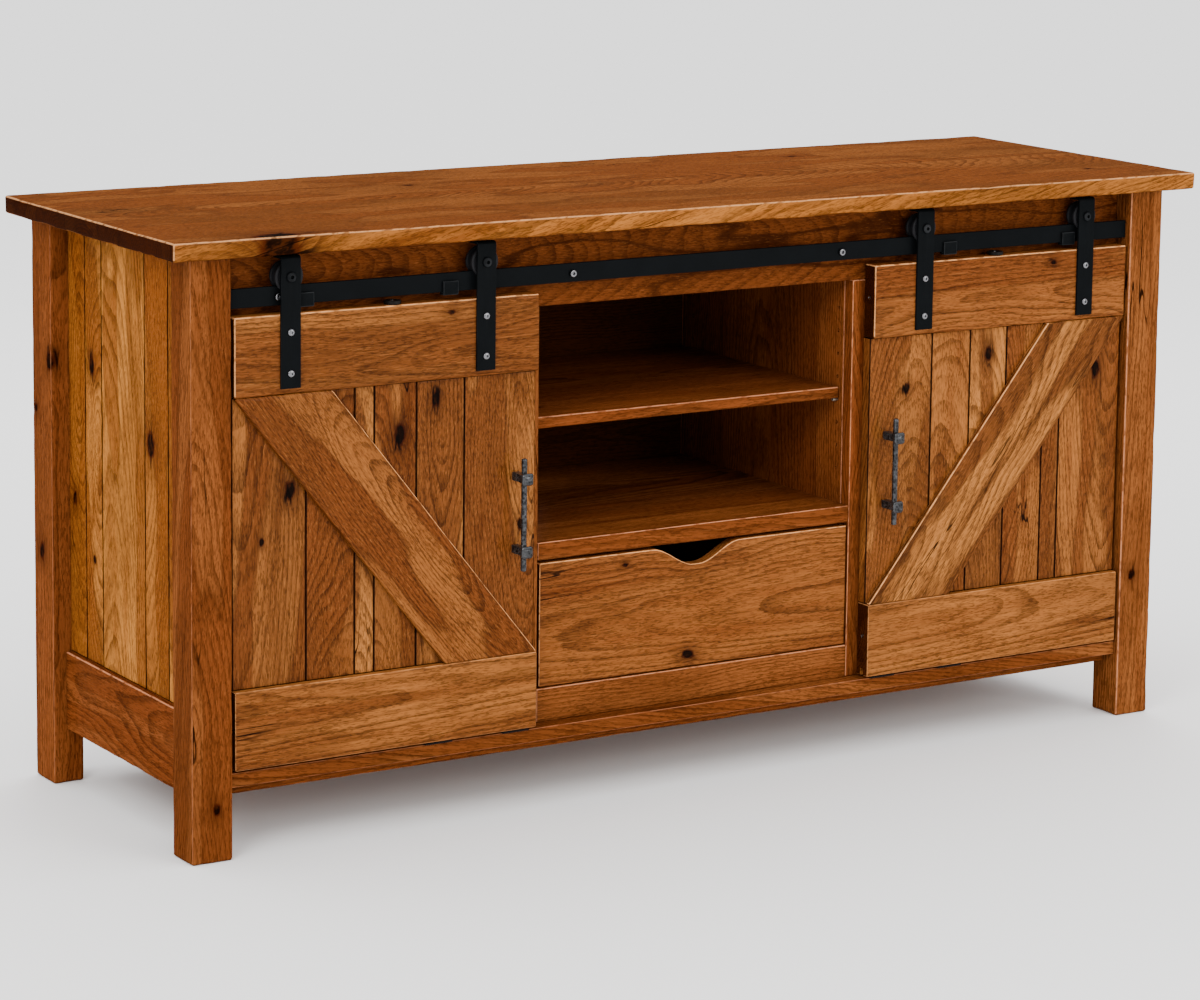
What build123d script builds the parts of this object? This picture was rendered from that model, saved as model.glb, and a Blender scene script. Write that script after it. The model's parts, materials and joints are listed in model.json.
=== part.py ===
from build123d import *
import os

# TV stand with two sliding plank doors on a flat rail, open centre bay and one drawer.
# Millimetres, +Z up, +X to the right, front towards -Y, origin at the floor under the centre.
# Depths are measured back from the front of the front posts, and place() moves them to the frame.

# ---- overall and carcass --------------------------------------------------------------------
WIDTH = 1600.0
DEPTH = 518.0
HEIGHT = 790.0
TOP_THICK = 24.0
OVERHANG_SIDE = 35.0
OVERHANG_FRONT = 28.0
OVERHANG_BACK = 6.0
POST_FRONT = (57.0, 56.0)
POST_BACK = (44.0, 60.0)
PANEL_THICK = 18.0
RAIL_THICK = 20.0
EASE = 2.5
FINE_EASE = 1.5
PLANK_EDGE = 1.2
CUT = 1.0
SHAFT_CLEAR = 0.05

UNDER_TOP = HEIGHT - TOP_THICK
BODY_X = WIDTH / 2 - OVERHANG_SIDE
BODY_DEPTH = DEPTH - OVERHANG_FRONT - OVERHANG_BACK
INNER_X = BODY_X - POST_FRONT[0]
INNER_BACK_X = BODY_X - POST_BACK[0]
BACK_POST_Y = BODY_DEPTH - POST_BACK[1]
FRONT_SHIFT = OVERHANG_FRONT - DEPTH / 2

SIDE_FACE_X = 739.0
SIDE_RAIL_FACE_X = 747.0
SIDE_RAIL_Z = (74.0, 181.0)
SIDE_SEAMS = (119.0, 188.0, 319.0, 371.0)
CLEAT = (21.0, 30.0)

FLOOR_Z = (90.0, 109.0)
FLOOR_FRONT = 10.0
LOWER_RAIL_Z = 76.0
FRAME_FACE = 31.0
HEADER_Z = 665.0
BACK_PANEL_Y = (458.0, 464.0)
BACK_TOP_RAIL_Z = 706.0
BACK_LOWER_RAIL_Z = (76.0, 150.0)
CABLE_HOLE_R = 30.0
CABLE_HOLE_Z = 445.0
CABLE_HOLE_X = 490.0

# ---- centre bay -----------------------------------------------------------------------------
BAY_X = 249.0
STILE_WIDE = 45.0
FACE_RAIL_TOP = 154.6
FIXED_SHELF_Z = (327.5, 351.5)
SHELF_THICK = 16.0
SHELF_Z = 497.6
SHELF_FRONT = 57.0
SHELF_BACK = 452.0
SHELF_GAP = 1.5
SIDE_SHELF_Y = (75.0, 418.0)
PIN_R = 2.5
PIN_DEEP = 9.0
PIN_OUT = 8.0
PIN_CLEAR = 0.1
PIN_PITCH = 32.0
PIN_LOW, PIN_HIGH = -3, 4
CENTRE_PIN_Y = (64.0, 430.0)
SIDE_PIN_Y = (90.0, 400.0)

# ---- drawer ---------------------------------------------------------------------------------
DRAWER_FRONT_X = 246.0
DRAWER_FRONT_Z = (156.5, 323.4)
DRAWER_FRONT_THICK = 18.0
SCOOP_WIDE = 140.0
SCOOP_DEEP = 26.5
SCOOP_FLAT = 0.06
DRAWER_SIDE_X = (224.0, 236.0)
DRAWER_BOX_Z = (168.0, 292.0)
DRAWER_BACK_Y = 435.0
DRAWER_BACK_THICK = 12.0
DRAWER_BOTTOM_THICK = 6.0
RUNNER_Y = (52.0, 432.0)
RUNNER_Z = 232.0
RUNNER_TALL = 45.0
RUNNER_WEB = 3.0
SLOT_TALL = 34.0
SLIDE_CLEAR = 0.6
SLIDE_GAP = 1.0

# ---- doors ----------------------------------------------------------------------------------
DOOR_X = (265.5, 703.5)
DOOR_Z = (112.5, 687.7)
DOOR_FRONT = 2.7
DOOR_THICK = 26.0
BOARD_TALL = 101.5
BRACE_THICK = 9.0
BRACE_FOOT = 137.0
LEFT_SEAMS = (372.0, 442.0, 503.0, 531.0, 600.0)
RIGHT_SEAMS = (371.0, 437.0, 500.5, 567.0, 597.0)
GROOVE = (7.0, 10.0)

# ---- sliding hardware -----------------------------------------------------------------------
RAIL_Y = (10.7, 15.7)
RAIL_Z = (697.7, 722.2)
RAIL_HALF = 707.0
RAIL_EASE = 0.8
RAIL_BOLT_X = (213.0, 640.0)
RAIL_BOLT_Z = 709.0
RAIL_BOLT_R = 3.0
RAIL_BOLT_DEEP = 15.0
BOLT_HEAD_R = 4.6
BOLT_HEAD_TALL = 4.5
SOCKET_R = 2.2
SOCKET_DEEP = 2.5
SPACER_R = 4.8
CLIP_X = (395.2, 601.7)
CLIP_WIDE = 22.0
CLIP_Z = (694.0, 712.0)
CLIP_THICK = 4.0
CLIP_BACK = 2.0
STRAP_X = (347.3, 627.0)
STRAP_WIDE = 27.0
STRAP_THICK = 3.5
STRAP_Z = (594.0, 760.7)
STRAP_TOP_BACK = 22.0
STRAP_BEND_R = 5.0
STRAP_SCREW_Z = (612.7, 664.6)
SCREW_R = 2.4
SCREW_HEAD_R = 4.6
SCREW_HEAD_TALL = 2.6
SCREW_DOME = 1.6
SCREW_LONG = 18.0
AXLE_Z = 734.0
AXLE_R = 4.0
AXLE_HEAD_R = 6.6
AXLE_HEAD_TALL = 4.2
AXLE_DOME = 2.2
AXLE_TAIL = 6.0
NUT_R = 6.4
NUT_TALL = 5.0
NUT_GAP = 0.6
ROLLER_R = 19.5
TREAD_R = 11.5
ROLLER_WIDE = 18.0
ROLLER_GROOVE = 7.0
ROLLER_EASE = 1.2
DISC_X = 477.0
DISC_R = 11.0
DISC_THICK = 5.0
DISC_RECESS = 0.2
DISC_SINK = 0.3
GUIDE_X = (295.0, 410.0)
GUIDE_BASE = (40.0, 20.0, 2.0)
GUIDE_SET_BACK = 2.5
GUIDE_JOIN = 0.5
GUIDE_FIN_THICK = 4.4
GUIDE_FIN_TALL = 8.0

# ---- pulls ----------------------------------------------------------------------------------
PULL_X = 295.5
PULL_Z = 401.5
PULL_PITCH = 96.0
BAR_R = 3.9
BAR_LONG = 149.0
BAR_Y = -11.0
STEM_SIDE = 11.0
STEM_FRONT = -15.5
HEAD_SIZE = (17.5, 8.5, 16.5)
HEAD_CORNER = 5.0
HEAD_CROWN = 3.0
BAR_EASE = 0.8

DOOR_BACK = DOOR_FRONT + DOOR_THICK
PLANK_FRONT = DOOR_FRONT + BRACE_THICK
RAIL_MID = (RAIL_Y[0] + RAIL_Y[1]) / 2
STRAP_FRONT = DOOR_FRONT - STRAP_THICK
FRAME_BACK = FRAME_FACE + RAIL_THICK
BAY_OUTER_X = BAY_X + PANEL_THICK
PIN_Z = SHELF_Z - PIN_R

nodes = {}


def block(x, y, z, ease=0.0):
    """A box between two x, two depths and two heights, with its edges rounded by ease."""
    x, y, z = sorted(x), sorted(y), sorted(z)
    solid = Box(x[1] - x[0], y[1] - y[0], z[1] - z[0])
    if ease:
        solid = fillet(solid.edges(), ease)
    middle = ((x[0] + x[1]) / 2, (y[0] + y[1]) / 2 + FRONT_SHIFT, (z[0] + z[1]) / 2)
    return Pos(*middle) * solid


def rod_y(radius, y, x, z):
    """A round bar along Y between two depths."""
    return Pos(x, sum(y) / 2 + FRONT_SHIFT, z) * Rot(90, 0, 0) * Cylinder(radius, abs(y[1] - y[0]))


def rod_x(radius, x, y, z):
    """A round bar along X between two x."""
    return Pos(sum(x) / 2, y + FRONT_SHIFT, z) * Rot(0, 90, 0) * Cylinder(radius, abs(x[1] - x[0]))


def rod_z(radius, z, x, y):
    """A round bar along Z between two heights."""
    return Pos(x, y + FRONT_SHIFT, sum(z) / 2) * Cylinder(radius, abs(z[1] - z[0]))


def place(name, *solids):
    """Files one node under its name, as one solid or a group of separate solids."""
    nodes[name] = list(solids)


# ---- carcass --------------------------------------------------------------------------------
def pin_heights():
    """Heights of the shelf-pin holes, the pins of the drawn shelf among them."""
    return [PIN_Z + PIN_PITCH * step for step in range(PIN_LOW, PIN_HIGH + 1)]


def bore_pins(solid, face_x, inward, depths):
    """Cuts two columns of blind pin holes into the face at face_x, towards inward (+1 or -1)."""
    for depth in depths:
        for height in pin_heights():
            reach = (face_x - inward * CUT, face_x + inward * (PIN_DEEP + CUT))
            solid -= rod_x(PIN_R + PIN_CLEAR, reach, depth, height)
    return solid


def make_top():
    half = WIDTH / 2
    depth = (-OVERHANG_FRONT, DEPTH - OVERHANG_FRONT)
    place("top_panel", block((-half, half), depth, (UNDER_TOP, HEIGHT), EASE))


def make_posts():
    for name, side in (("left", -1), ("right", 1)):
        front = ((side * INNER_X, side * BODY_X), (0, POST_FRONT[1]))
        back = ((side * INNER_BACK_X, side * BODY_X), (BACK_POST_Y, BODY_DEPTH))
        place(f"post_front_{name}", block(*front, (0, UNDER_TOP), EASE))
        place(f"post_back_{name}", block(*back, (0, UNDER_TOP), EASE))


def make_sides():
    edges = (POST_FRONT[1], *SIDE_SEAMS, BACK_POST_Y)
    inner = SIDE_FACE_X - PANEL_THICK
    for name, side in (("left", -1), ("right", 1)):
        x = (side * inner, side * SIDE_FACE_X)
        planks = []
        for start, end in zip(edges, edges[1:]):
            plank = block(x, (start, end), (SIDE_RAIL_Z[1], UNDER_TOP))
            outer = plank.faces().sort_by(Axis.X)[-1 if side > 0 else 0]
            plank = chamfer(outer.edges().filter_by(Axis.Z), PLANK_EDGE)
            inside = [y for y in SIDE_PIN_Y if start < y < end]
            planks.append(bore_pins(plank, side * inner, side, inside))
        place(f"side_planks_{name}", *planks)
        rail_x = (side * inner, side * SIDE_RAIL_FACE_X)
        place(f"side_rail_{name}", block(rail_x, (POST_FRONT[1], BACK_POST_Y), SIDE_RAIL_Z, EASE))
    cleats = []
    for side in (-1, 1):
        x = (side * (inner - CLEAT[0]), side * inner)
        cleats.append(block(x, (POST_FRONT[1], BACK_POST_Y), (UNDER_TOP - CLEAT[1], UNDER_TOP)))
    place("side_top_cleats", *cleats)


def make_floor():
    ledge = block((-INNER_X, INNER_X), (FLOOR_FRONT, POST_FRONT[1]), FLOOR_Z)
    deep = block((-INNER_BACK_X, INNER_BACK_X), (POST_FRONT[1], BACK_PANEL_Y[0]), FLOOR_Z)
    floor = ledge + deep
    front = floor.faces().sort_by(Axis.Y)[0]
    place("bottom_panel", fillet(front.edges().filter_by(Axis.X), EASE))
    rail_y = (FRAME_FACE, FRAME_BACK)
    rail_z = (LOWER_RAIL_Z, FLOOR_Z[0])
    place("front_lower_rail", block((-INNER_X, INNER_X), rail_y, rail_z))


def make_back():
    wide = (-INNER_BACK_X, INNER_BACK_X)
    panel = block(wide, BACK_PANEL_Y, (FLOOR_Z[0], UNDER_TOP))
    for x in (-CABLE_HOLE_X, 0, CABLE_HOLE_X):
        through = (BACK_PANEL_Y[0] - CUT, BACK_PANEL_Y[1] + CUT)
        panel -= rod_y(CABLE_HOLE_R, through, x, CABLE_HOLE_Z)
    place("back_panel", panel)
    rail_y = (BACK_PANEL_Y[1], BODY_DEPTH)
    top_rail = block(wide, rail_y, (BACK_TOP_RAIL_Z, UNDER_TOP), EASE)
    lower_rail = block(wide, rail_y, BACK_LOWER_RAIL_Z, EASE)
    place("back_rails", top_rail, lower_rail)


def make_face_frame():
    depth = (FRAME_FACE, FRAME_BACK)
    header = block((-INNER_X, INNER_X), depth, (HEADER_Z, UNDER_TOP), EASE)
    for side in (-1, 1):
        for x in RAIL_BOLT_X:
            hole = (FRAME_FACE - CUT, FRAME_FACE + RAIL_BOLT_DEEP + CUT)
            header -= rod_y(RAIL_BOLT_R + SHAFT_CLEAR, hole, side * x, RAIL_BOLT_Z)
    place("header_rail", header)
    for name, side in (("left", -1), ("right", 1)):
        x = (side * BAY_X, side * (BAY_X + STILE_WIDE))
        place(f"face_stile_{name}", block(x, depth, (FLOOR_Z[1], HEADER_Z), FINE_EASE))
    place("face_bottom_rail", block((-BAY_X, BAY_X), depth, (FLOOR_Z[1], FACE_RAIL_TOP), FINE_EASE))


def make_inside():
    for name, side in (("left", -1), ("right", 1)):
        x = (side * BAY_X, side * BAY_OUTER_X)
        wall = block(x, (FRAME_BACK, BACK_PANEL_Y[0]), (FLOOR_Z[1], UNDER_TOP))
        wall = bore_pins(wall, side * BAY_X, side, CENTRE_PIN_Y)
        wall = bore_pins(wall, side * BAY_OUTER_X, -side, SIDE_PIN_Y)
        place(f"partition_{name}", wall)
    fixed = block((-BAY_X, BAY_X), (FRAME_FACE, BACK_PANEL_Y[0]), FIXED_SHELF_Z, FINE_EASE)
    place("fixed_shelf", fixed)
    half = BAY_X - SHELF_GAP
    shelf_z = (SHELF_Z, SHELF_Z + SHELF_THICK)
    place("centre_shelf", block((-half, half), (SHELF_FRONT, SHELF_BACK), shelf_z, EASE))
    inner = SIDE_FACE_X - PANEL_THICK
    shelves = []
    pins = []
    for side in (-1, 1):
        x = (side * (BAY_OUTER_X + SHELF_GAP), side * (inner - SHELF_GAP))
        shelves.append(block(x, SIDE_SHELF_Y, shelf_z, EASE))
        for y in CENTRE_PIN_Y:
            reach = (side * (BAY_X - PIN_OUT), side * (BAY_X + PIN_DEEP))
            pins.append(rod_x(PIN_R, reach, y, PIN_Z))
        for y in SIDE_PIN_Y:
            reach = (side * (BAY_OUTER_X - PIN_DEEP), side * (BAY_OUTER_X + PIN_OUT))
            pins.append(rod_x(PIN_R, reach, y, PIN_Z))
            reach = (side * (inner - PIN_OUT), side * (inner + PIN_DEEP))
            pins.append(rod_x(PIN_R, reach, y, PIN_Z))
    place("side_shelves", *shelves)
    place("shelf_pins", *pins)


# ---- drawer ---------------------------------------------------------------------------------
def scoop_cutter():
    """The finger scoop in the drawer front's top edge: a round dip with S-shaped shoulders."""
    half = SCOOP_WIDE / 2
    top = DRAWER_FRONT_Z[1]
    low = top - SCOOP_DEEP
    start = (-half, top)
    left = (-half * SCOOP_FLAT, low)
    right = (half * SCOOP_FLAT, low)
    end = (half, top)
    level = (1, 0)
    outline = Spline(start, left, tangents=(level, level))
    outline += Line(left, right)
    outline += Spline(right, end, tangents=(level, level))
    outline += Polyline(end, (half, top + CUT), (-half, top + CUT), start)
    depth = FRAME_FACE + DRAWER_FRONT_THICK + CUT
    face = Plane.XZ.offset(-depth - FRONT_SHIFT) * make_face(outline)
    return extrude(face, DRAWER_FRONT_THICK + 2 * CUT)


def make_drawer():
    front_y = (FRAME_FACE, FRAME_FACE + DRAWER_FRONT_THICK)
    front = block((-DRAWER_FRONT_X, DRAWER_FRONT_X), front_y, DRAWER_FRONT_Z, FINE_EASE)
    place("drawer_front", front - scoop_cutter())
    for name, side in (("left", -1), ("right", 1)):
        x = (side * DRAWER_SIDE_X[0], side * DRAWER_SIDE_X[1])
        place(f"drawer_side_{name}", block(x, (front_y[1], DRAWER_BACK_Y), DRAWER_BOX_Z))
    inner = DRAWER_SIDE_X[0]
    back_y = (DRAWER_BACK_Y - DRAWER_BACK_THICK, DRAWER_BACK_Y)
    place("drawer_back", block((-inner, inner), back_y, DRAWER_BOX_Z))
    bottom_z = (DRAWER_BOX_Z[0], DRAWER_BOX_Z[0] + DRAWER_BOTTOM_THICK)
    place("drawer_bottom", block((-inner, inner), (front_y[1], back_y[0]), bottom_z))
    runners = []
    members = []
    for side in (-1, 1):
        face = DRAWER_SIDE_X[1] + SLIDE_GAP
        tall = (RUNNER_Z - RUNNER_TALL / 2, RUNNER_Z + RUNNER_TALL / 2)
        slot = (RUNNER_Z - SLOT_TALL / 2, RUNNER_Z + SLOT_TALL / 2)
        channel = block((side * face, side * BAY_X), RUNNER_Y, tall)
        slot_x = (side * (face - CUT), side * (BAY_X - RUNNER_WEB))
        channel -= block(slot_x, (RUNNER_Y[0] - CUT, RUNNER_Y[1] + CUT), slot)
        runners.append(channel)
        member_x = (side * DRAWER_SIDE_X[1], side * (BAY_X - RUNNER_WEB - SLIDE_CLEAR))
        member_z = (slot[0] + SLIDE_CLEAR, slot[1] - SLIDE_CLEAR)
        members.append(block(member_x, RUNNER_Y, member_z))
    place("drawer_runners", *runners)
    place("drawer_slide_members", *members)


# ---- rail and its fittings ------------------------------------------------------------------
def make_rail():
    rail = block((-RAIL_HALF, RAIL_HALF), RAIL_Y, RAIL_Z, RAIL_EASE)
    bolts = []
    spacers = []
    clips = []
    for side in (-1, 1):
        for x in RAIL_BOLT_X:
            at = (side * x, RAIL_BOLT_Z)
            rail -= rod_y(RAIL_BOLT_R + SHAFT_CLEAR, (RAIL_Y[0] - CUT, RAIL_Y[1] + CUT), *at)
            head_front = RAIL_Y[0] - BOLT_HEAD_TALL
            head = rod_y(BOLT_HEAD_R, (head_front, RAIL_Y[0]), *at)
            shank = rod_y(RAIL_BOLT_R, (RAIL_Y[0], FRAME_FACE + RAIL_BOLT_DEEP), *at)
            socket = rod_y(SOCKET_R, (head_front - CUT, head_front + SOCKET_DEEP), *at)
            bolts.append(head + shank - socket)
            tube = rod_y(SPACER_R, (RAIL_Y[1], FRAME_FACE), *at)
            bore = rod_y(RAIL_BOLT_R + SHAFT_CLEAR, (RAIL_Y[1] - CUT, FRAME_FACE + CUT), *at)
            spacers.append(tube - bore)
        for x in CLIP_X:
            span = (side * x - CLIP_WIDE / 2, side * x + CLIP_WIDE / 2)
            depth = (RAIL_Y[0] - CLIP_THICK, RAIL_Y[1] + CLIP_BACK)
            clip = block(span, depth, CLIP_Z)
            seat = block((span[0] - CUT, span[1] + CUT), RAIL_Y, (RAIL_Z[0], CLIP_Z[1] + CUT))
            clips.append(clip - seat)
    place("door_rail", rail)
    place("rail_bolts", *bolts)
    place("rail_spacers", *spacers)
    place("rail_clips", *clips)


def groove_mid():
    """Depth of the middle of the groove in each door's bottom edge."""
    return DOOR_FRONT + DOOR_THICK / 2


def make_guides():
    guides = []
    for side in (-1, 1):
        for x in GUIDE_X:
            span = (side * x - GUIDE_BASE[0] / 2, side * x + GUIDE_BASE[0] / 2)
            middle = RAIL_MID + GUIDE_SET_BACK
            base_y = (middle - GUIDE_BASE[1] / 2, middle + GUIDE_BASE[1] / 2)
            base_top = FLOOR_Z[1] + GUIDE_BASE[2]
            base = block(span, base_y, (FLOOR_Z[1], base_top))
            fin_y = (groove_mid() - GUIDE_FIN_THICK / 2, groove_mid() + GUIDE_FIN_THICK / 2)
            fin_z = (base_top - GUIDE_JOIN, base_top + GUIDE_FIN_TALL)
            guides.append(base + block(span, fin_y, fin_z))
    place("floor_guides", *guides)


# ---- doors ----------------------------------------------------------------------------------
def door_board(side, z, ease=EASE):
    x = (side * DOOR_X[0], side * DOOR_X[1])
    return block(x, (DOOR_FRONT, DOOR_BACK), z, ease)


def make_door_wood(name, side, seams):
    low = DOOR_Z[0] + BOARD_TALL
    high = DOOR_Z[1] - BOARD_TALL
    top = door_board(side, (high, DOOR_Z[1]))
    for x in STRAP_X:
        for z in STRAP_SCREW_Z:
            hole = (DOOR_FRONT - CUT, DOOR_FRONT + SCREW_LONG)
            top -= rod_y(SCREW_R + SHAFT_CLEAR, hole, side * x, z)
    disc_hole = (DOOR_Z[1] - SCREW_LONG, DOOR_Z[1] + CUT)
    top -= rod_z(SCREW_R + SHAFT_CLEAR, disc_hole, side * DISC_X, RAIL_MID)
    place(f"{name}_top_board", top)
    bottom = door_board(side, (DOOR_Z[0], low))
    middle = groove_mid()
    groove_y = (middle - GROOVE[0] / 2, middle + GROOVE[0] / 2)
    groove_x = (side * (DOOR_X[0] - CUT), side * (DOOR_X[1] + CUT))
    bottom -= block(groove_x, groove_y, (DOOR_Z[0] - CUT, DOOR_Z[0] + GROOVE[1]))
    place(f"{name}_bottom_board", bottom)
    edges = (DOOR_X[0], *seams, DOOR_X[1])
    planks = []
    for start, end in zip(edges, edges[1:]):
        plank = block((side * start, side * end), (PLANK_FRONT, DOOR_BACK), (low, high))
        face = plank.faces().sort_by(Axis.Y)[0]
        planks.append(chamfer(face.edges().filter_by(Axis.Z), PLANK_EDGE))
    place(f"{name}_planks", *planks)
    inner, outer = side * DOOR_X[0], side * DOOR_X[1]
    corners = [
        (inner, low),
        (inner + side * BRACE_FOOT, low),
        (outer, high),
        (outer - side * BRACE_FOOT, high),
    ]
    face = Plane.XZ.offset(-PLANK_FRONT - FRONT_SHIFT) * make_face(Polyline(*corners, close=True))
    brace = extrude(face, BRACE_THICK)
    front = brace.faces().sort_by(Axis.Y)[0]
    place(f"{name}_brace", chamfer(front.edges(), FINE_EASE))


def make_hangers(name, side):
    straps = []
    axles = []
    screws = []
    for x in STRAP_X:
        centre = side * x
        span = (centre - STRAP_WIDE / 2, centre + STRAP_WIDE / 2)
        strap = block(span, (STRAP_FRONT, STRAP_TOP_BACK), STRAP_Z)
        inside_y = (DOOR_FRONT, STRAP_TOP_BACK + CUT)
        inside_z = (STRAP_Z[0] - CUT, STRAP_Z[1] - STRAP_THICK)
        strap -= block((span[0] - CUT, span[1] + CUT), inside_y, inside_z)
        bend = strap.edges().filter_by(Axis.X).sort_by(lambda e: e.center().Z - e.center().Y)[-1]
        strap = fillet(bend, STRAP_BEND_R)
        through = (STRAP_FRONT - CUT, DOOR_FRONT + CUT)
        strap -= rod_y(AXLE_R + SHAFT_CLEAR, through, centre, AXLE_Z)
        for z in STRAP_SCREW_Z:
            strap -= rod_y(SCREW_R + SHAFT_CLEAR, through, centre, z)
            head = rod_y(SCREW_HEAD_R, (STRAP_FRONT - SCREW_HEAD_TALL, STRAP_FRONT), centre, z)
            rim = head.faces().sort_by(Axis.Y)[0].edges()
            shank = rod_y(SCREW_R, (STRAP_FRONT, DOOR_FRONT + SCREW_LONG - CUT), centre, z)
            screws.append(fillet(rim, SCREW_DOME) + shank)
        straps.append(strap)
        back = RAIL_MID + ROLLER_WIDE / 2
        bolt = rod_y(AXLE_HEAD_R, (STRAP_FRONT - AXLE_HEAD_TALL, STRAP_FRONT), centre, AXLE_Z)
        rim = bolt.faces().sort_by(Axis.Y)[0].edges()
        shaft = rod_y(AXLE_R, (STRAP_FRONT, back + AXLE_TAIL), centre, AXLE_Z)
        spot = Pos(centre, back + NUT_GAP + FRONT_SHIFT, AXLE_Z) * Rot(90, 0, 0)
        nut = spot * extrude(RegularPolygon(NUT_R, 6), -NUT_TALL)
        axles.append(fillet(rim, AXLE_DOME) + shaft + nut)
    spot = (side * DISC_X, RAIL_MID)
    top = DOOR_Z[1] + DISC_THICK
    disc = rod_z(DISC_R, (DOOR_Z[1], top), *spot)
    disc -= rod_z(SCREW_R + SHAFT_CLEAR, (DOOR_Z[1] - CUT, top + CUT), *spot)
    seat = top - SCREW_HEAD_TALL
    disc -= rod_z(SCREW_HEAD_R + DISC_RECESS, (seat, top + CUT), *spot)
    disc_head = rod_z(SCREW_HEAD_R, (seat, top - DISC_SINK), *spot)
    screws.append(disc_head + rod_z(SCREW_R, (DOOR_Z[1] - SCREW_LONG + CUT, seat), *spot))
    place(f"{name}_hangers", *straps)
    place(f"{name}_axle_bolts", *axles)
    place(f"{name}_screws", *screws)
    place(f"{name}_anti_jump_disc", disc)


def make_rollers(name, side):
    half = ROLLER_WIDE / 2
    groove = ROLLER_GROOVE / 2
    for place_name, x in zip(("inner", "outer"), STRAP_X):
        centre = side * x
        wheel = rod_y(ROLLER_R, (RAIL_MID - half, RAIL_MID + half), centre, AXLE_Z)
        wheel = fillet(wheel.edges(), ROLLER_EASE)
        ring = rod_y(ROLLER_R + CUT, (RAIL_MID - groove, RAIL_MID + groove), centre, AXLE_Z)
        ring -= rod_y(TREAD_R, (RAIL_MID - half, RAIL_MID + half), centre, AXLE_Z)
        wheel -= ring
        through = (RAIL_MID - half - CUT, RAIL_MID + half + CUT)
        wheel -= rod_y(AXLE_R + SHAFT_CLEAR, through, centre, AXLE_Z)
        place(f"{name}_{place_name}_roller", wheel)


def make_pull(name, side):
    x = side * PULL_X
    ends = (PULL_Z - BAR_LONG / 2, PULL_Z + BAR_LONG / 2)
    bar = rod_z(BAR_R, ends, x, BAR_Y)
    place(f"{name}_pull_bar", fillet(bar.edges(), BAR_EASE))
    posts = []
    half = STEM_SIDE / 2
    for z in (PULL_Z - PULL_PITCH / 2, PULL_Z + PULL_PITCH / 2):
        stem = block((x - half, x + half), (STEM_FRONT, PLANK_FRONT), (z - half, z + half))
        head_x = (x - HEAD_SIZE[0] / 2, x + HEAD_SIZE[0] / 2)
        head_y = (STEM_FRONT - HEAD_SIZE[1], STEM_FRONT)
        head = block(head_x, head_y, (z - HEAD_SIZE[2] / 2, z + HEAD_SIZE[2] / 2))
        head = fillet(head.edges().filter_by(Axis.Y), HEAD_CORNER)
        head = fillet(head.faces().sort_by(Axis.Y)[0].edges(), HEAD_CROWN)
        bore = rod_z(BAR_R + SHAFT_CLEAR, (z - half - CUT, z + half + CUT), x, BAR_Y)
        posts.append(stem + head - bore)
    place(f"{name}_pull_posts", *posts)


def make_doors():
    for name, side, seams in (("left_door", -1, LEFT_SEAMS), ("right_door", 1, RIGHT_SEAMS)):
        make_door_wood(name, side, seams)
        make_hangers(name, side)
        make_rollers(name, side)
        make_pull(name, side)


make_top()
make_posts()
make_sides()
make_floor()
make_back()
make_face_frame()
make_inside()
make_drawer()
make_rail()
make_guides()
make_doors()

os.makedirs("parts", exist_ok=True)
for node, solids in nodes.items():
    shape = Compound(label=node, children=[s.solid() for s in solids])
    export_step(shape, f"parts/{node}.step")
print(len(nodes), "nodes")
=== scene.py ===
"""The looks of a rustic TV stand: knotty lacquered boards, black steel rail hardware, hammered pulls."""

import json
import math

import bmesh
import bpy
import numpy as np
from mathutils import Matrix, Vector


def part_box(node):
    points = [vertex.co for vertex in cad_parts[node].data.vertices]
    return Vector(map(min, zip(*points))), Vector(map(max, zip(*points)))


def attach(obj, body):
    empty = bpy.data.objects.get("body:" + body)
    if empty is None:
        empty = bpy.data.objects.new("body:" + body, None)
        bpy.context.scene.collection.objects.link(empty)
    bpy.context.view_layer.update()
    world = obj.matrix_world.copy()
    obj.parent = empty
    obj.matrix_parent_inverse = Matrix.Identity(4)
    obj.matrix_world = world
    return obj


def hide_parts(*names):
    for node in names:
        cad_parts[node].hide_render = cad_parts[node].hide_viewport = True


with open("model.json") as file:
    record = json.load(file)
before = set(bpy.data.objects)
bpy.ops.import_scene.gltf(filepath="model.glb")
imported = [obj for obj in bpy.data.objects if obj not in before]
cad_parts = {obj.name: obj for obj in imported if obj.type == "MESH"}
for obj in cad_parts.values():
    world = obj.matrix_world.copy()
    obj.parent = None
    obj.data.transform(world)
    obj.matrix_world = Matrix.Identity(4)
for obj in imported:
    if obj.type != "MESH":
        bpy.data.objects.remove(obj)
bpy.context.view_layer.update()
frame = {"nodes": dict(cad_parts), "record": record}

MM = 0.001
X, Y, Z = 0, 1, 2
BODY_OF = {node: body for body, nodes in frame["record"]["behaviour"]["bodies"].items() for node in nodes}
SLOT_OF = {part["node"]: part["material_slot"] for part in frame["record"]["subparts"]}


# ---- camera, floor and light ----
CAMERA_AT = (-2.7724, -4.4236, 1.4400)
CAMERA_TURN = (-31.754, 8.247, 0.647)
CAMERA_LENS = 115.1
CAMERA_SHIFT = -0.2


def put(name, data):
    """Adds an object to the scene."""
    made = bpy.data.objects.new(name, data)
    bpy.context.scene.collection.objects.link(made)
    return made


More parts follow.
